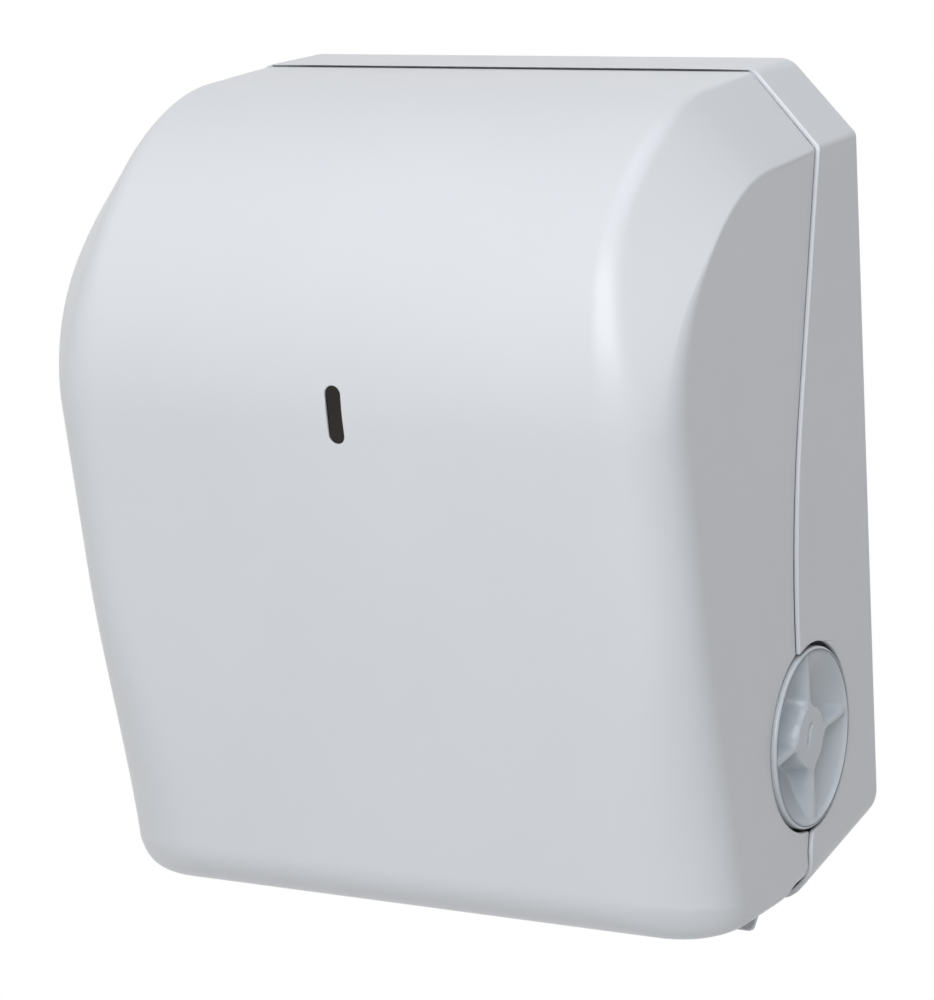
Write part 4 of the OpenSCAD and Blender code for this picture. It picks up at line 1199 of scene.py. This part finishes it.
class DISPENSER_OT_feed_knob(bpy.types.Operator):
    """Models the feed knob: a rim, four scoops between ridges, a slotted middle and the hub behind."""
    bl_idname = "dispenser.feed_knob"
    bl_label = "Feed knob"
    ridge_turn = math.radians(2)
    ridge_half = 1.2
    middle_r = 14.5
    face_sunk = 1.0
    scoop_deep = 10.5
    scoop_least = 0.5
    scoop_wall = (-0.5, 3.6)
    scoop_round = 6
    rim_wide = 2.0
    slot_turn = math.radians(24)
    slot_y = -2
    slot_z = 2
    slot_bend = 0.03
    slot_half = 4.2
    slot_deep = 2.2
    slot_wall = (1.0, 1.9)
    face_proud = -0.1
    thick = 14
    hub_r = 11
    hub_end = 142
    bore_r = 5

    def depth(self, rho, turn, lip):
        """How far the face lies behind the rim."""
        a = turn - self.ridge_turn
        beside = abs(rho * math.sin(a)) - self.ridge_half
        along = abs(rho * math.cos(a)) - self.ridge_half
        wall = soft_min(soft_min(beside, along, self.scoop_round), rho - self.middle_r, self.scoop_round)
        share = max(0, (min(rho, lip) - self.middle_r) / (lip - self.middle_r))
        scoop = ramp(wall, *self.scoop_wall) * (self.scoop_least + self.scoop_deep * (1 - share ** 2))
        y = rho * math.cos(turn) - self.slot_y
        z = rho * math.sin(turn) - self.slot_z
        t = z * math.cos(self.slot_turn) + y * math.sin(self.slot_turn)
        off = y * math.cos(self.slot_turn) - z * math.sin(self.slot_turn) - self.slot_bend * t * t
        away = math.hypot(off, max(0, abs(t) - self.slot_half))
        slot = self.slot_deep * (1 - ramp(away, *self.slot_wall))
        return mix(self.face_sunk + scoop + slot, 0, ramp(rho, lip - 0.8, lip + 0.6))

    def execute(self, context):
        lines = Lines()
        radius = context.scene.dispenser_sizes.knob_radius / MM
        face = lines.half + self.face_proud
        back = lines.half - self.thick
        lip = radius - self.rim_wide
        rings = [lip * 1.02 * k / 76 for k in range(77)]
        rim = softened([(face, radius - 1.6, 0), (face, radius, 1.3), (back, radius, 0.8),
                        (back, self.hub_r, 1.5), (self.hub_end, self.hub_r, 0.6),
                        (self.hub_end, self.bore_r, 0.4), (back + 3, self.bore_r, 0), (back + 3, 0, 0)], 5)
        steps = 200

        def place(i, j):
            turn = 2 * math.pi * i / steps
            if j < len(rings):
                r = rings[j]
                x = face - self.depth(r, turn, lip)
            else:
                x, r = rim[j - len(rings)]
            return (x, lines.drum_y + r * math.cos(turn), lines.drum_z + r * math.sin(turn))

        knob = weld(grid("feed_knob_body", steps, len(rings) + len(rim) - 1, place))
        settle(knob, "drum", "knob_white", finishes["knob"], "feed_knob")
        return {"FINISHED"}


class DISPENSER_OT_exit_lip(bpy.types.Operator):
    """Models the lip under the drum: a bent sheet whose ends slant in towards its tip."""
    bl_idname = "dispenser.exit_lip"
    bl_label = "Exit lip"
    back_y = -50
    bend_y = -86
    bend_r = 6
    tip_y = -95
    tip_drop = 16
    thick = 2.5
    flat_half = 134
    slope_half = 141.5
    taper = 4
    corner = 1.8
    edge = 0.6

    def execute(self, context):
        lines = Lines()
        floor = lines.bottom + lines.wall
        bend = Vector((self.bend_y, floor))
        tip = Vector((self.tip_y, lines.bottom - self.tip_drop))
        corners = [(self.back_y, floor, 0), (*bend, self.bend_r), (*tip, 0), (self.back_y, tip.y, 0)]
        path = rounded(corners, 10)[:-1]
        flat = [path[0].lerp(path[1], k / 6) for k in range(6)]
        slope = [path[-2].lerp(path[-1], k / 16) for k in range(1, 17)]
        path = flat + path[1:-1] + slope
        drop = bend.y - tip.y

        def half(point):
            below = bend.y - point.y
            share = max(0.0, min(1.0, below / drop))
            wide = mix(self.flat_half, self.slope_half, ramp(below, 1.5, 4)) - self.taper * share
            left = point.y - tip.y
            if left < self.corner:
                wide -= self.corner - math.sqrt(self.corner ** 2 - (self.corner - left) ** 2)
            return wide

        def place(i, j):
            p = path[j]
            return (half(p) * (i / 20 - 1), p.x, p.y)

        lip = grid("exit_lip_sheet", 40, len(path) - 1, place)
        weld(lip, outward=False)
        self.face_out(lip)
        apply(lip, "SOLIDIFY", thickness=self.thick * MM, offset=1, use_even_offset=True)
        ease(lip, self.edge, 3, SHARP)
        settle(lip, "base", "case_white", finishes["case"], "exit_lip")
        return {"FINISHED"}

    def face_out(self, lip):
        """Turns the sheet so that its faces look up and to the front."""
        if sum(p.normal.z - p.normal.y for p in lip.data.polygons) < 0:
            flip(lip)


class DISPENSER_OT_springs(bpy.types.Operator):
    """Winds the return spring, the pinch roller's two springs and the two springs of the roll's arms."""
    bl_idname = "dispenser.springs"
    bl_label = "Springs"
    turn_steps = 24
    pinch_x = 126

    def execute(self, context):
        lines = Lines()
        self.return_spring(lines)
        self.pinch_springs(lines)
        self.arm_springs(lines)
        return {"FINISHED"}

    def coil(self, radius, turns, along):
        """Points [along, side, up] round an axis; along(turn) is how far a turn has come."""
        points = []
        for k in range(round(turns * self.turn_steps) + 1):
            turn = k / self.turn_steps
            a = 2 * math.pi * turn
            points.append((along(turn), radius * math.cos(a), radius * math.sin(a)))
        return points

    def closed(self, turns, wire_r, total):
        """How a spring of closed end turns comes along its axis."""
        close = 2.05 * wire_r
        pitch = (total - 2 * wire_r - 2 * close) / (turns - 2)

        def along(turn):
            if turn < 1:
                return wire_r + close * turn
            if turn > turns - 1:
                return total - wire_r - close * (turns - turn)
            return wire_r + close + pitch * (turn - 1)
        return along

    def return_spring(self, lines):
        """From the crank's pin to the post, with a loop round each."""
        pin, post = 14.0, 69.15
        loop, radius, wire_r = 3.8, 5.0, 0.7
        start, pitch, turns = 23.0, 2.4, 16
        plane = -136.0
        fall = math.radians(-40.6)
        first = []
        for k in range(29):
            a = math.radians(mix(-310, 0, k / 28))
            first.append((pin + loop * math.cos(a), loop * math.sin(a), 0))
        for k in range(1, 10):
            t = k / 10
            first.append((mix(pin + loop, start, t * t), radius * ramp(t, -0.2, 1.15), 0.4 * t * t))
        coil = self.coil(radius, turns, lambda turn: start + pitch * turn)
        end = start + pitch * turns
        last = []
        for k in range(1, 10):
            t = 1 - k / 10
            last.append((mix(post - loop, end, t * t), radius * ramp(t, -0.2, 1.15), -0.4 * t * t))
        for k in range(29):
            a = math.radians(mix(180, -130, k / 28))
            last.append((post + loop * math.cos(a), loop * math.sin(a), 0))

        def world(point):
            s, v, x = point
            return (plane + x, lines.drum_y + s * math.cos(fall) - v * math.sin(fall),
                    lines.drum_z + s * math.sin(fall) + v * math.cos(fall))

        spring = wire("return_coil", [world(q) for q in first + coil + last], wire_r)
        settle(spring, None, "steel", finishes["steel"], "return_spring")
        post_at, pin_at = [Vector(world((along, 0, 0))) * MM for along in (post, pin)]
        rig.blend(spring, "base", "drum", post_at, pin_at)

    def pinch_springs(self, lines):
        """Between the pinch roller's blocks and their seats; they shorten as the roller lifts."""
        low, high = 57.3, 72.3
        radius, wire_r, turns = 3.5, 0.5, 7.5
        slant = math.sqrt(0.5)
        along = self.closed(turns, wire_r, high - low)

        def world(point):
            s, v, x = point
            s += low
            return (self.pinch_x + x, lines.drum_y + (s - v) * slant, lines.drum_z + (s + v) * slant)

        right = wire("pinch_coils", [world(q) for q in self.coil(radius, turns, along)], wire_r)
        join(right, across(right, "pinch_coil_left"))
        settle(right, "base", "steel", finishes["steel"], "pinch_springs")
        seat = Vector((0, lines.drum_y + high * slant, lines.drum_z + high * slant)) * MM
        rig.squash(right, "pinch_lift", axis=(0, slant, slant), anchor=seat, keep=0.733)

    def arm_springs(self, lines):
        """Round each arm's pin, between its knuckles."""
        radius, wire_r, turns, total = 4.6, 0.6, 5.0, 8.6
        base = lines.roll_z - total / 2
        along = self.closed(turns, wire_r, total)
        path = [(lines.arm_x + u, lines.arm_y + v, base + w) for w, u, v in self.coil(radius, turns, along)]
        right = wire("arm_coil_right", path, wire_r)
        left = across(right, "arm_coil_left")
        for spring, side, x in ((right, "arm_right", lines.arm_x), (left, "arm_left", -lines.arm_x)):
            settle(spring, None, "steel", finishes["steel"], "arm_springs")
            ends = [Vector((x * MM, lines.arm_y * MM, z * MM)) for z in (base, base + total)]
            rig.blend(spring, "base", side, *ends)


class DISPENSER_OT_screws(bpy.types.Operator):
    """Models a cross-head screw and sets it in the frame, the tie rods, the lip and the blade."""
    bl_idname = "dispenser.screws"
    bl_label = "Screws"
    pitch = 0.8
    # Where the screws of the frame, the tie rods, the lip and the blade stand
    frame_x = 127
    frame_y = -15
    frame_zs = (-62, -168)
    tie_x = 121
    ties = ((-22, -150), (-70.5, -57), (-120.5, -70))
    lip_xs = (-90, 0, 90)
    lip_y = -68
    lip_rise = 5
    blade_xs = (-72, -24, 24, 72)
    blade_lean = math.radians(63.43)
    blade_pivot = (0, -99.5, -92)
    blade_down = 15
    blade_out = 2

    def screw(self, head_r, head_h, shank_r, shank):
        """A screw along Z, its head standing on zero."""
        profile = [(-shank, 0, 0), (-shank, 0.6 * shank_r, 0), (-shank + 0.7, shank_r, 0)]
        for k in range(int((shank - 1.4) / self.pitch)):
            z = -shank + self.pitch + self.pitch * k
            profile += [(z + 0.1, shank_r, 0), (z + 0.4, 0.8 * shank_r, 0), (z + 0.7, shank_r, 0)]
        profile += [(0, shank_r, 0), (0, head_r, 0.15), (0.5 * head_h, head_r, 0.3 * head_h),
                    (head_h, 0.55 * head_r, 0.4 * head_h), (head_h, 0, 0)]
        body = turned("screw", profile, along_z(0, 0), 48)
        wide, reach = 0.13 * head_r, 0.55 * head_r
        for u, v in ((wide, reach), (reach, wide)):
            corners = [(-u, -v, 0), (u, -v, 0), (u, v, 0), (-u, v, 0)]
            cut(body, slab("recess", rounded(corners, 1), sheet_z, 0.3 * head_h, head_h + 1))
        return body

    def execute(self, context):
        lines = Lines()
        sides = (-1, 1)
        frame_at = [((self.frame_x * s, self.frame_y, z), (0, -1, 0)) for s in sides for z in self.frame_zs]
        tie_at = [((self.tie_x * s, y, z), (s, 0, 0)) for s in sides for y, z in self.ties]
        lip_at = [((x, self.lip_y, lines.bottom + self.lip_rise), (0, 0, 1)) for x in self.lip_xs]
        pivot = Vector(self.blade_pivot)
        out = Vector((0, -math.sin(self.blade_lean), math.cos(self.blade_lean)))
        down = Vector((0, -math.cos(self.blade_lean), -math.sin(self.blade_lean)))
        blade_at = [(pivot + Vector((x, 0, 0)) + self.blade_down * down + self.blade_out * out, out)
                    for x in self.blade_xs]
        long_screw = self.screw(head_r=4, head_h=2.5, shank_r=1.75, shank=6)
        short_screw = self.screw(head_r=4, head_h=2.5, shank_r=1.75, shank=5)
        blade_screw = self.screw(head_r=2.6, head_h=1.4, shank_r=1.5, shank=4)
        for model, node, body, places in ((long_screw, "frame_screws", "base", frame_at),
                                          (long_screw, "tie_rod_screws", "base", tie_at),
                                          (short_screw, "exit_lip_screws", "base", lip_at),
                                          (blade_screw, "blade_screws", "knife", blade_at)):
            copies = [placed(model, node + "_set", place, way) for place, way in places]
            settle(join(*copies), body, "steel", finishes["steel"], node)
        for model in (long_screw, short_screw, blade_screw):
            bpy.data.objects.remove(model)
        return {"FINISHED"}


class DISPENSER_OT_drum(bpy.types.Operator):
    """Models the drum's tube with its grooves and its slot for the knife, and the ribbed rubber bands."""
    bl_idname = "dispenser.drum"
    bl_label = "Drum"
    radius = 40.0
    half = 104.0
    wall = 3
    band_pitch = 39.2
    band_half = 6.9
    band_proud = 0.15
    band_deep = 0.95
    groove_half = 7
    rib_pitch = 2.2
    rib_deep = 0.55
    slot_half = 98

    def slot(self, lines):
        low, high = lines.drum_z - 8, lines.drum_z + 24.5
        wide = self.slot_half
        outline = rounded([(-wide, low, 3), (wide, low, 3), (wide, high, 3), (-wide, high, 3)], 6)
        return slab("drum_slot", outline, sheet_y, lines.drum_y - 45, lines.drum_y - 25)

    def execute(self, context):
        lines = Lines()
        space = along_x(lines.drum_y, lines.drum_z)
        r = self.radius
        centres = [self.band_pitch * k for k in range(-2, 3)]
        wide = self.groove_half
        grooves = []
        for x in centres:
            grooves += [(x - wide, r, 0.25), (x - wide, r - 1, 0), (x + wide, r - 1, 0), (x + wide, r, 0.25)]
        inner = r - self.wall
        profile = [(-self.half, inner, 0), (-self.half, r, 0.8), *grooves,
                   (self.half, r, 0.8), (self.half, inner, 0), (-self.half, inner, 0)]
        tube = turned("drum_tube", profile, space, 120)
        cut(tube, self.slot(lines))
        settle(tube, "drum", "case_white", finishes["white"], "drum_shell")
        crest = r + self.band_proud
        dip = r - self.rib_deep
        ribs = []
        for k in range(6):
            x = self.rib_pitch * k - 5.5
            ribs += [(x - 0.5, crest, 0.1), (x - 0.3, dip, 0), (x + 0.3, dip, 0), (x + 0.5, crest, 0.1)]
        wide = self.band_half
        root = r - self.band_deep
        ring = [(-wide, root, 0), (-wide, crest, 0.2), *ribs,
                (wide, crest, 0.2), (wide, root, 0), (-wide, root, 0)]
        band = turned("rubber_bands", ring, space, 120)
        copies = [copied(band, "rubber_band", Matrix.Translation((x * MM, 0, 0))) for x in centres if x]
        join(band, *copies)
        cut(band, self.slot(lines))
        settle(band, "drum", "rubber", finishes["rubber"], "grip_bands")
        return {"FINISHED"}


class DISPENSER_OT_pinch_sleeve(bpy.types.Operator):
    """Models the pinch roller's rubber sleeve with its ring grooves."""
    bl_idname = "dispenser.pinch_sleeve"
    bl_label = "Pinch sleeve"
    half = 100
    radius = 11
    bore = 4
    groove_r = 10.3
    groove_pitch = 11
    axes_apart = 51.3

    def execute(self, context):
        lines = Lines()
        rise = self.axes_apart * math.sqrt(0.5)
        r = self.radius
        dip = self.groove_r
        profile = [(-self.half, self.bore, 0), (-self.half, r, 1)]
        for k in range(-8, 9):
            x = self.groove_pitch * k
            profile += [(x - 0.9, r, 0.2), (x - 0.6, dip, 0), (x + 0.6, dip, 0), (x + 0.9, r, 0.2)]
        profile += [(self.half, r, 1), (self.half, self.bore, 0), (-self.half, self.bore, 0)]
        sleeve = turned("pinch_tube", profile, along_x(lines.drum_y + rise, lines.drum_z + rise), 64)
        settle(sleeve, "pinch_roller", "rubber", finishes["rubber"], "pinch_sleeve")
        return {"FINISHED"}


class DISPENSER_OT_roll_hubs(bpy.types.Operator):
    """Models the two hubs that enter the roll's core: a flange, a tapered nose and ribs in the hollow."""
    bl_idname = "dispenser.roll_hubs"
    bl_label = "Roll hubs"
    tip_x = 94.5
    floor_x = 100.5
    flange_x = 107.5
    back_x = 110.5
    bore_r = 5.05
    nose_r = 18.5
    flange_r = 26
    rib_count = 6
    rib_half = 0.8
    rib_x = (99.5, 109.2)

    def execute(self, context):
        lines = Lines()
        space = along_x(lines.roll_y, lines.roll_z)
        tip = self.tip_x
        back = self.back_x
        profile = [(tip, self.bore_r, 0), (tip, self.nose_r - 3, 0.8), (tip + 3, self.nose_r, 1.2),
                   (self.flange_x, self.nose_r, 0.8), (self.flange_x, self.flange_r, 0.8),
                   (back, self.flange_r, 0.8), (back, 16.4, 0.5), (self.floor_x, 16, 1),
                   (self.floor_x, 7.8, 1), (back, 7.5, 0.5), (back, self.bore_r, 0), (tip, self.bore_r, 0)]
        right = turned("roll_hub_right_body", profile, space, 96)
        wide = self.rib_half
        rib = slab("hub_rib", [(7, -wide), (17, -wide), (17, wide), (7, wide)], sheet_x, *self.rib_x, 0.25)
        centre = Vector((0, lines.roll_y, lines.roll_z)) * MM
        ribs = []
        for k in range(self.rib_count):
            turn = math.radians(360 / self.rib_count * k + 30)
            place = Matrix.Translation(centre) @ Matrix.Rotation(turn, 4, "X")
            ribs.append(copied(rib, "hub_rib_copy", place))
        bpy.data.objects.remove(rib)
        unite(right, join(*ribs))
        left = across(right, "roll_hub_left_body")
        settle(right, "hub_right", "nylon", finishes["nylon"], "roll_hub_right")
        settle(left, "hub_left", "nylon", finishes["nylon"], "roll_hub_left")
        return {"FINISHED"}


class DISPENSER_OT_roll_arms(bpy.types.Operator):
    """Models the two arms that hold the hubs: a plate with a pocket, and two knuckles round its pin."""
    bl_idname = "dispenser.roll_arms"
    bl_label = "Roll arms"
    end_r = 16
    root_half = 20
    plate_x = (112, 115)
    pocket_x = 113.8
    knuckle_r = 6
    knuckle_z = (5, 20)
    gap_half = 5
    pin_r = 3.05
    axle_r = 5

    def execute(self, context):
        lines = Lines()
        z = lines.roll_z
        turns = [math.radians(a) for a in range(0, 181, 10)]
        end = [(lines.roll_y - self.end_r * math.sin(a), z - self.end_r * math.cos(a)) for a in turns]
        outline = end + [(lines.arm_y, z + self.root_half), (lines.arm_y, z - self.root_half)]
        arm = slab("roll_arm_right_body", outline, sheet_x, *self.plate_x, 0.6)
        pocket = rounded([(-28, z - 12, 4), (-84, z - 10, 5), (-84, z + 10, 5), (-28, z + 12, 4)], 8)
        cut(arm, slab("arm_pocket", pocket, sheet_x, self.pocket_x, 118))
        pin = along_z(lines.arm_x, lines.arm_y)
        low, high = self.knuckle_z
        profile = [(low, 0, 0), (low, self.knuckle_r, 0.6), (high, self.knuckle_r, 0.6), (high, 0, 0)]
        knuckle = turned("knuckle", profile, pin, 48)
        for name, place in (("knuckle_high", z), ("knuckle_low", z - low - high)):
            unite(arm, copied(knuckle, name, Matrix.Translation((0, 0, place * MM))))
        bpy.data.objects.remove(knuckle)
        outline = [(108, -21), (122.5, -21), (122.5, -7), (108, -7)]
        gap = slab("spring_gap", outline, sheet_z, z - self.gap_half, z + self.gap_half)
        bore = turned("pin_bore", self.rod(z - 22, z + 22, self.pin_r), pin, 40)
        axle = turned("axle_bore", self.rod(110, 117, self.axle_r), along_x(lines.roll_y, z), 48)
        cut(arm, gap, bore, axle)
        left = across(arm, "roll_arm_left_body")
        settle(arm, "arm_right", "case_white", finishes["white"], "roll_arm_right")
        settle(left, "arm_left", "case_white", finishes["white"], "roll_arm_left")
        return {"FINISHED"}

    def rod(self, low, high, radius):
        """Profile of a plain rod."""
        return [(low, 0, 0), (low, radius, 0), (high, radius, 0), (high, 0, 0)]


class DISPENSER_OT_key_lock(bpy.types.Operator):
    """Models the lock's housing with its rounded flange, and the plug with its key slot."""
    bl_idname = "dispenser.key_lock"
    bl_label = "Key lock"
    axis_y = -58
    barrel_x = -153
    flange_x = -165.5
    face_x = -168.5
    bore_r = 5.05
    barrel_r = 8
    flange_r = 10.5
    core_x = -168.9
    core_r = 5
    core_step_x = -151.5
    tail_x = -143
    tail_r = 3

    def execute(self, context):
        space = along_x(self.axis_y, 0)
        barrel = [(self.barrel_x, self.bore_r, 0), (self.barrel_x, self.barrel_r, 0.5),
                  (self.flange_x, self.barrel_r, 0), (self.flange_x, self.flange_r, 0.3),
                  (self.face_x, self.flange_r, 1.1), (self.face_x, 5.7, 0.2),
                  (self.face_x + 0.5, self.bore_r, 0), (self.barrel_x, self.bore_r, 0)]
        housing = turned("lock_barrel", barrel, space, 80)
        settle(housing, "base", "steel", finishes["steel"], "lock_housing")
        core = [(self.tail_x, 0, 0), (self.tail_x, self.tail_r, 0.4), (self.core_step_x, self.tail_r, 0),
                (self.core_step_x, self.core_r, 0.2), (self.core_x, self.core_r, 0.4), (self.core_x, 0, 0)]
        plug = turned("lock_core", core, space, 64)
        key = rounded([(-61.5, -0.7, 0.3), (-54.5, -0.7, 0.3), (-54.5, 0.7, 0.3), (-61.5, 0.7, 0.3)], 3)
        cut(plug, slab("key_slot", key, sheet_x, -170, -164.5))
        settle(plug, "lock", "steel", finishes["turned"], "lock_plug")
        return {"FINISHED"}


class DISPENSER_OT_stage(bpy.types.Operator):
    """Sets the floor, the lamps, the backdrop and the camera."""
    bl_idname = "dispenser.stage"
    bl_label = "Stage"
    # The room's light: its level, and how it grows along a way
    room_level = 0.275
    room_lean = (0.03, -0.146, -0.01)
    floor_z = -0.75
    lamp_aim = (0, -0.1, 0)
    # The camera's angles in degrees, and in millimetres where it looks and how far it stands off
    azimuth = 29.224
    rise = 13.557
    tilt = -3.281
    aim = (-1.292, -100, -6.852)
    distance = 1767.55
    lens = 133.6

    def execute(self, context):
        scene = context.scene
        scene.view_settings.view_transform = "Standard"
        self.backdrop(scene)
        self.floor()
        self.lamp("key_softbox", (0.42, -2.09, 1.27), 1.8, 36.5, (0.98, 1.0, 1.02))
        self.lamp("top_softbox", (0.66, 0.12, 2.09), 1.6, 9.5, (0.95, 0.99, 1.06))
        self.camera(scene)
        return {"FINISHED"}

    def seen(self, tree):
        """1 for what the camera, a mirror or a lens sees, 0 for light that falls on the object."""
        path = added(tree, "LightPath")
        shown = path.outputs["Is Camera Ray"]
        for ray in ("Is Transmission Ray", "Is Glossy Ray"):
            either = added(tree, "Math")
            either.operation = "MAXIMUM"
            tree.links.new(shown, either.inputs[0])
            tree.links.new(path.outputs[ray], either.inputs[1])
            shown = either.outputs[0]
        return shown

    def show(self, tree, lighting, shown, output):
        """Lets one shader be seen while the other gives the light."""
        pick = added(tree, "MixShader", Fac=self.seen(tree))
        tree.links.new(lighting, pick.inputs[1])
        tree.links.new(shown, pick.inputs[2])
        feed(tree, tree.nodes[output], Surface=pick.outputs["Shader"])

    def backdrop(self, scene):
        world = bpy.data.worlds.new("soft_room")
        scene.world = world
        world.use_nodes = True
        tree = world.node_tree
        white = tree.nodes["Background"]
        feed(tree, white, Color=(1, 1, 1, 1), Strength=1.0)
        lean = added(tree, "VectorMath")
        lean.operation = "DOT_PRODUCT"
        lean.inputs[1].default_value = self.room_lean
        tree.links.new(added(tree, "TexCoord").outputs["Generated"], lean.inputs[0])
        level = added(tree, "Math")
        level.operation = "ADD"
        level.use_clamp = True
        level.inputs[1].default_value = self.room_level
        tree.links.new(lean.outputs["Value"], level.inputs[0])
        room = added(tree, "Background", Color=(1.0, 0.985, 0.98, 1), Strength=level.outputs[0])
        self.show(tree, room.outputs["Background"], white.outputs["Background"], "World Output")

    def floor(self):
        bpy.ops.object.select_all(action="DESELECT")
        bpy.ops.mesh.primitive_plane_add(size=14, location=(0, 0, self.floor_z))
        floor = named("studio_floor")
        bpy.ops.object.transform_apply(location=True, rotation=False, scale=False)
        material, tree, shader, place = nodes_of("pale_floor")
        cloud = noise(tree, place, 2, 3)
        pale = tones(tree, cloud, (0.62, 0.62, 0.62), (0.66, 0.66, 0.66))
        feed(tree, shader, Base_Color=pale, Roughness=0.9)
        glow = added(tree, "Emission", Strength=1.0)
        self.show(tree, shader.outputs["BSDF"], glow.outputs["Emission"], "Material Output")
        floor.data.materials.append(material)
        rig.stage(floor)

    def lamp(self, name, place, size, watts, tint):
        """A square softbox."""
        bpy.ops.object.select_all(action="DESELECT")
        bpy.ops.object.light_add(type="AREA", location=place)
        lamp = named(name)
        lamp.data.shape = "RECTANGLE"
        lamp.data.size = size
        lamp.data.size_y = size
        lamp.data.energy = watts
        lamp.data.color = tint
        way = Vector(self.lamp_aim) - Vector(place)
        lamp.rotation_euler = way.to_track_quat("-Z", "Y").to_euler()

    def camera(self, scene):
        azimuth = math.radians(self.azimuth)
        rise = math.radians(self.rise)
        tilt = math.radians(self.tilt)
        level = math.cos(rise)
        back = Vector((math.sin(azimuth) * level, -math.cos(azimuth) * level, math.sin(rise)))
        right = (-back).cross(Vector((0, 0, 1))).normalized()
        up = right.cross(-back)
        side = math.cos(tilt) * right + math.sin(tilt) * up
        over = -math.sin(tilt) * right + math.cos(tilt) * up
        bpy.ops.object.select_all(action="DESELECT")
        bpy.ops.object.camera_add()
        camera = named("view_camera")
        turn = Matrix((side, over, back)).transposed().to_4x4()
        camera.matrix_world = Matrix.Translation((Vector(self.aim) + back * self.distance) * MM) @ turn
        camera.data.lens = self.lens
        camera.data.sensor_width = 36
        camera.data.sensor_fit = "AUTO"
        camera.data.clip_end = 50
        scene.camera = camera


class DISPENSER_PT_panel(bpy.types.Panel):
    bl_label = "Towel dispenser"
    bl_idname = "DISPENSER_PT_panel"
    bl_space_type = "VIEW_3D"
    bl_region_type = "UI"
    bl_category = "Dispenser"

    def draw(self, context):
        layout = self.layout
        for group in (context.scene.dispenser_sizes, context.scene.dispenser_colours):
            column = layout.column(align=True)
            for name in group.__annotations__:
                column.prop(group, name)
        for operator in STEPS:
            layout.operator(operator.bl_idname)


STEPS = (
    DISPENSER_OT_finishes,
    DISPENSER_OT_rear_case,
    DISPENSER_OT_front_cover,
    DISPENSER_OT_level_window,
    DISPENSER_OT_feed_knob,
    DISPENSER_OT_exit_lip,
    DISPENSER_OT_springs,
    DISPENSER_OT_screws,
    DISPENSER_OT_drum,
    DISPENSER_OT_pinch_sleeve,
    DISPENSER_OT_roll_hubs,
    DISPENSER_OT_roll_arms,
    DISPENSER_OT_key_lock,
    DISPENSER_OT_stage,
)
CLASSES = (DispenserSizes, DispenserColours, *STEPS, DISPENSER_PT_panel)


def register():
    for c in CLASSES:
        bpy.utils.register_class(c)
    bpy.types.Scene.dispenser_sizes = bpy.props.PointerProperty(type=DispenserSizes)
    bpy.types.Scene.dispenser_colours = bpy.props.PointerProperty(type=DispenserColours)


def unregister():
    del bpy.types.Scene.dispenser_colours
    del bpy.types.Scene.dispenser_sizes
    for c in reversed(CLASSES):
        bpy.utils.unregister_class(c)


def main():
    register()
    for step in STEPS:
        group, name = step.bl_idname.split(".")
        getattr(getattr(bpy.ops, group), name)()
    with open("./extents.json", "w") as out:
        json.dump({"cad": cad_box, "visual": [list(corner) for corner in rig.bounds()]}, out)


if __name__ == "__main__":
    main()
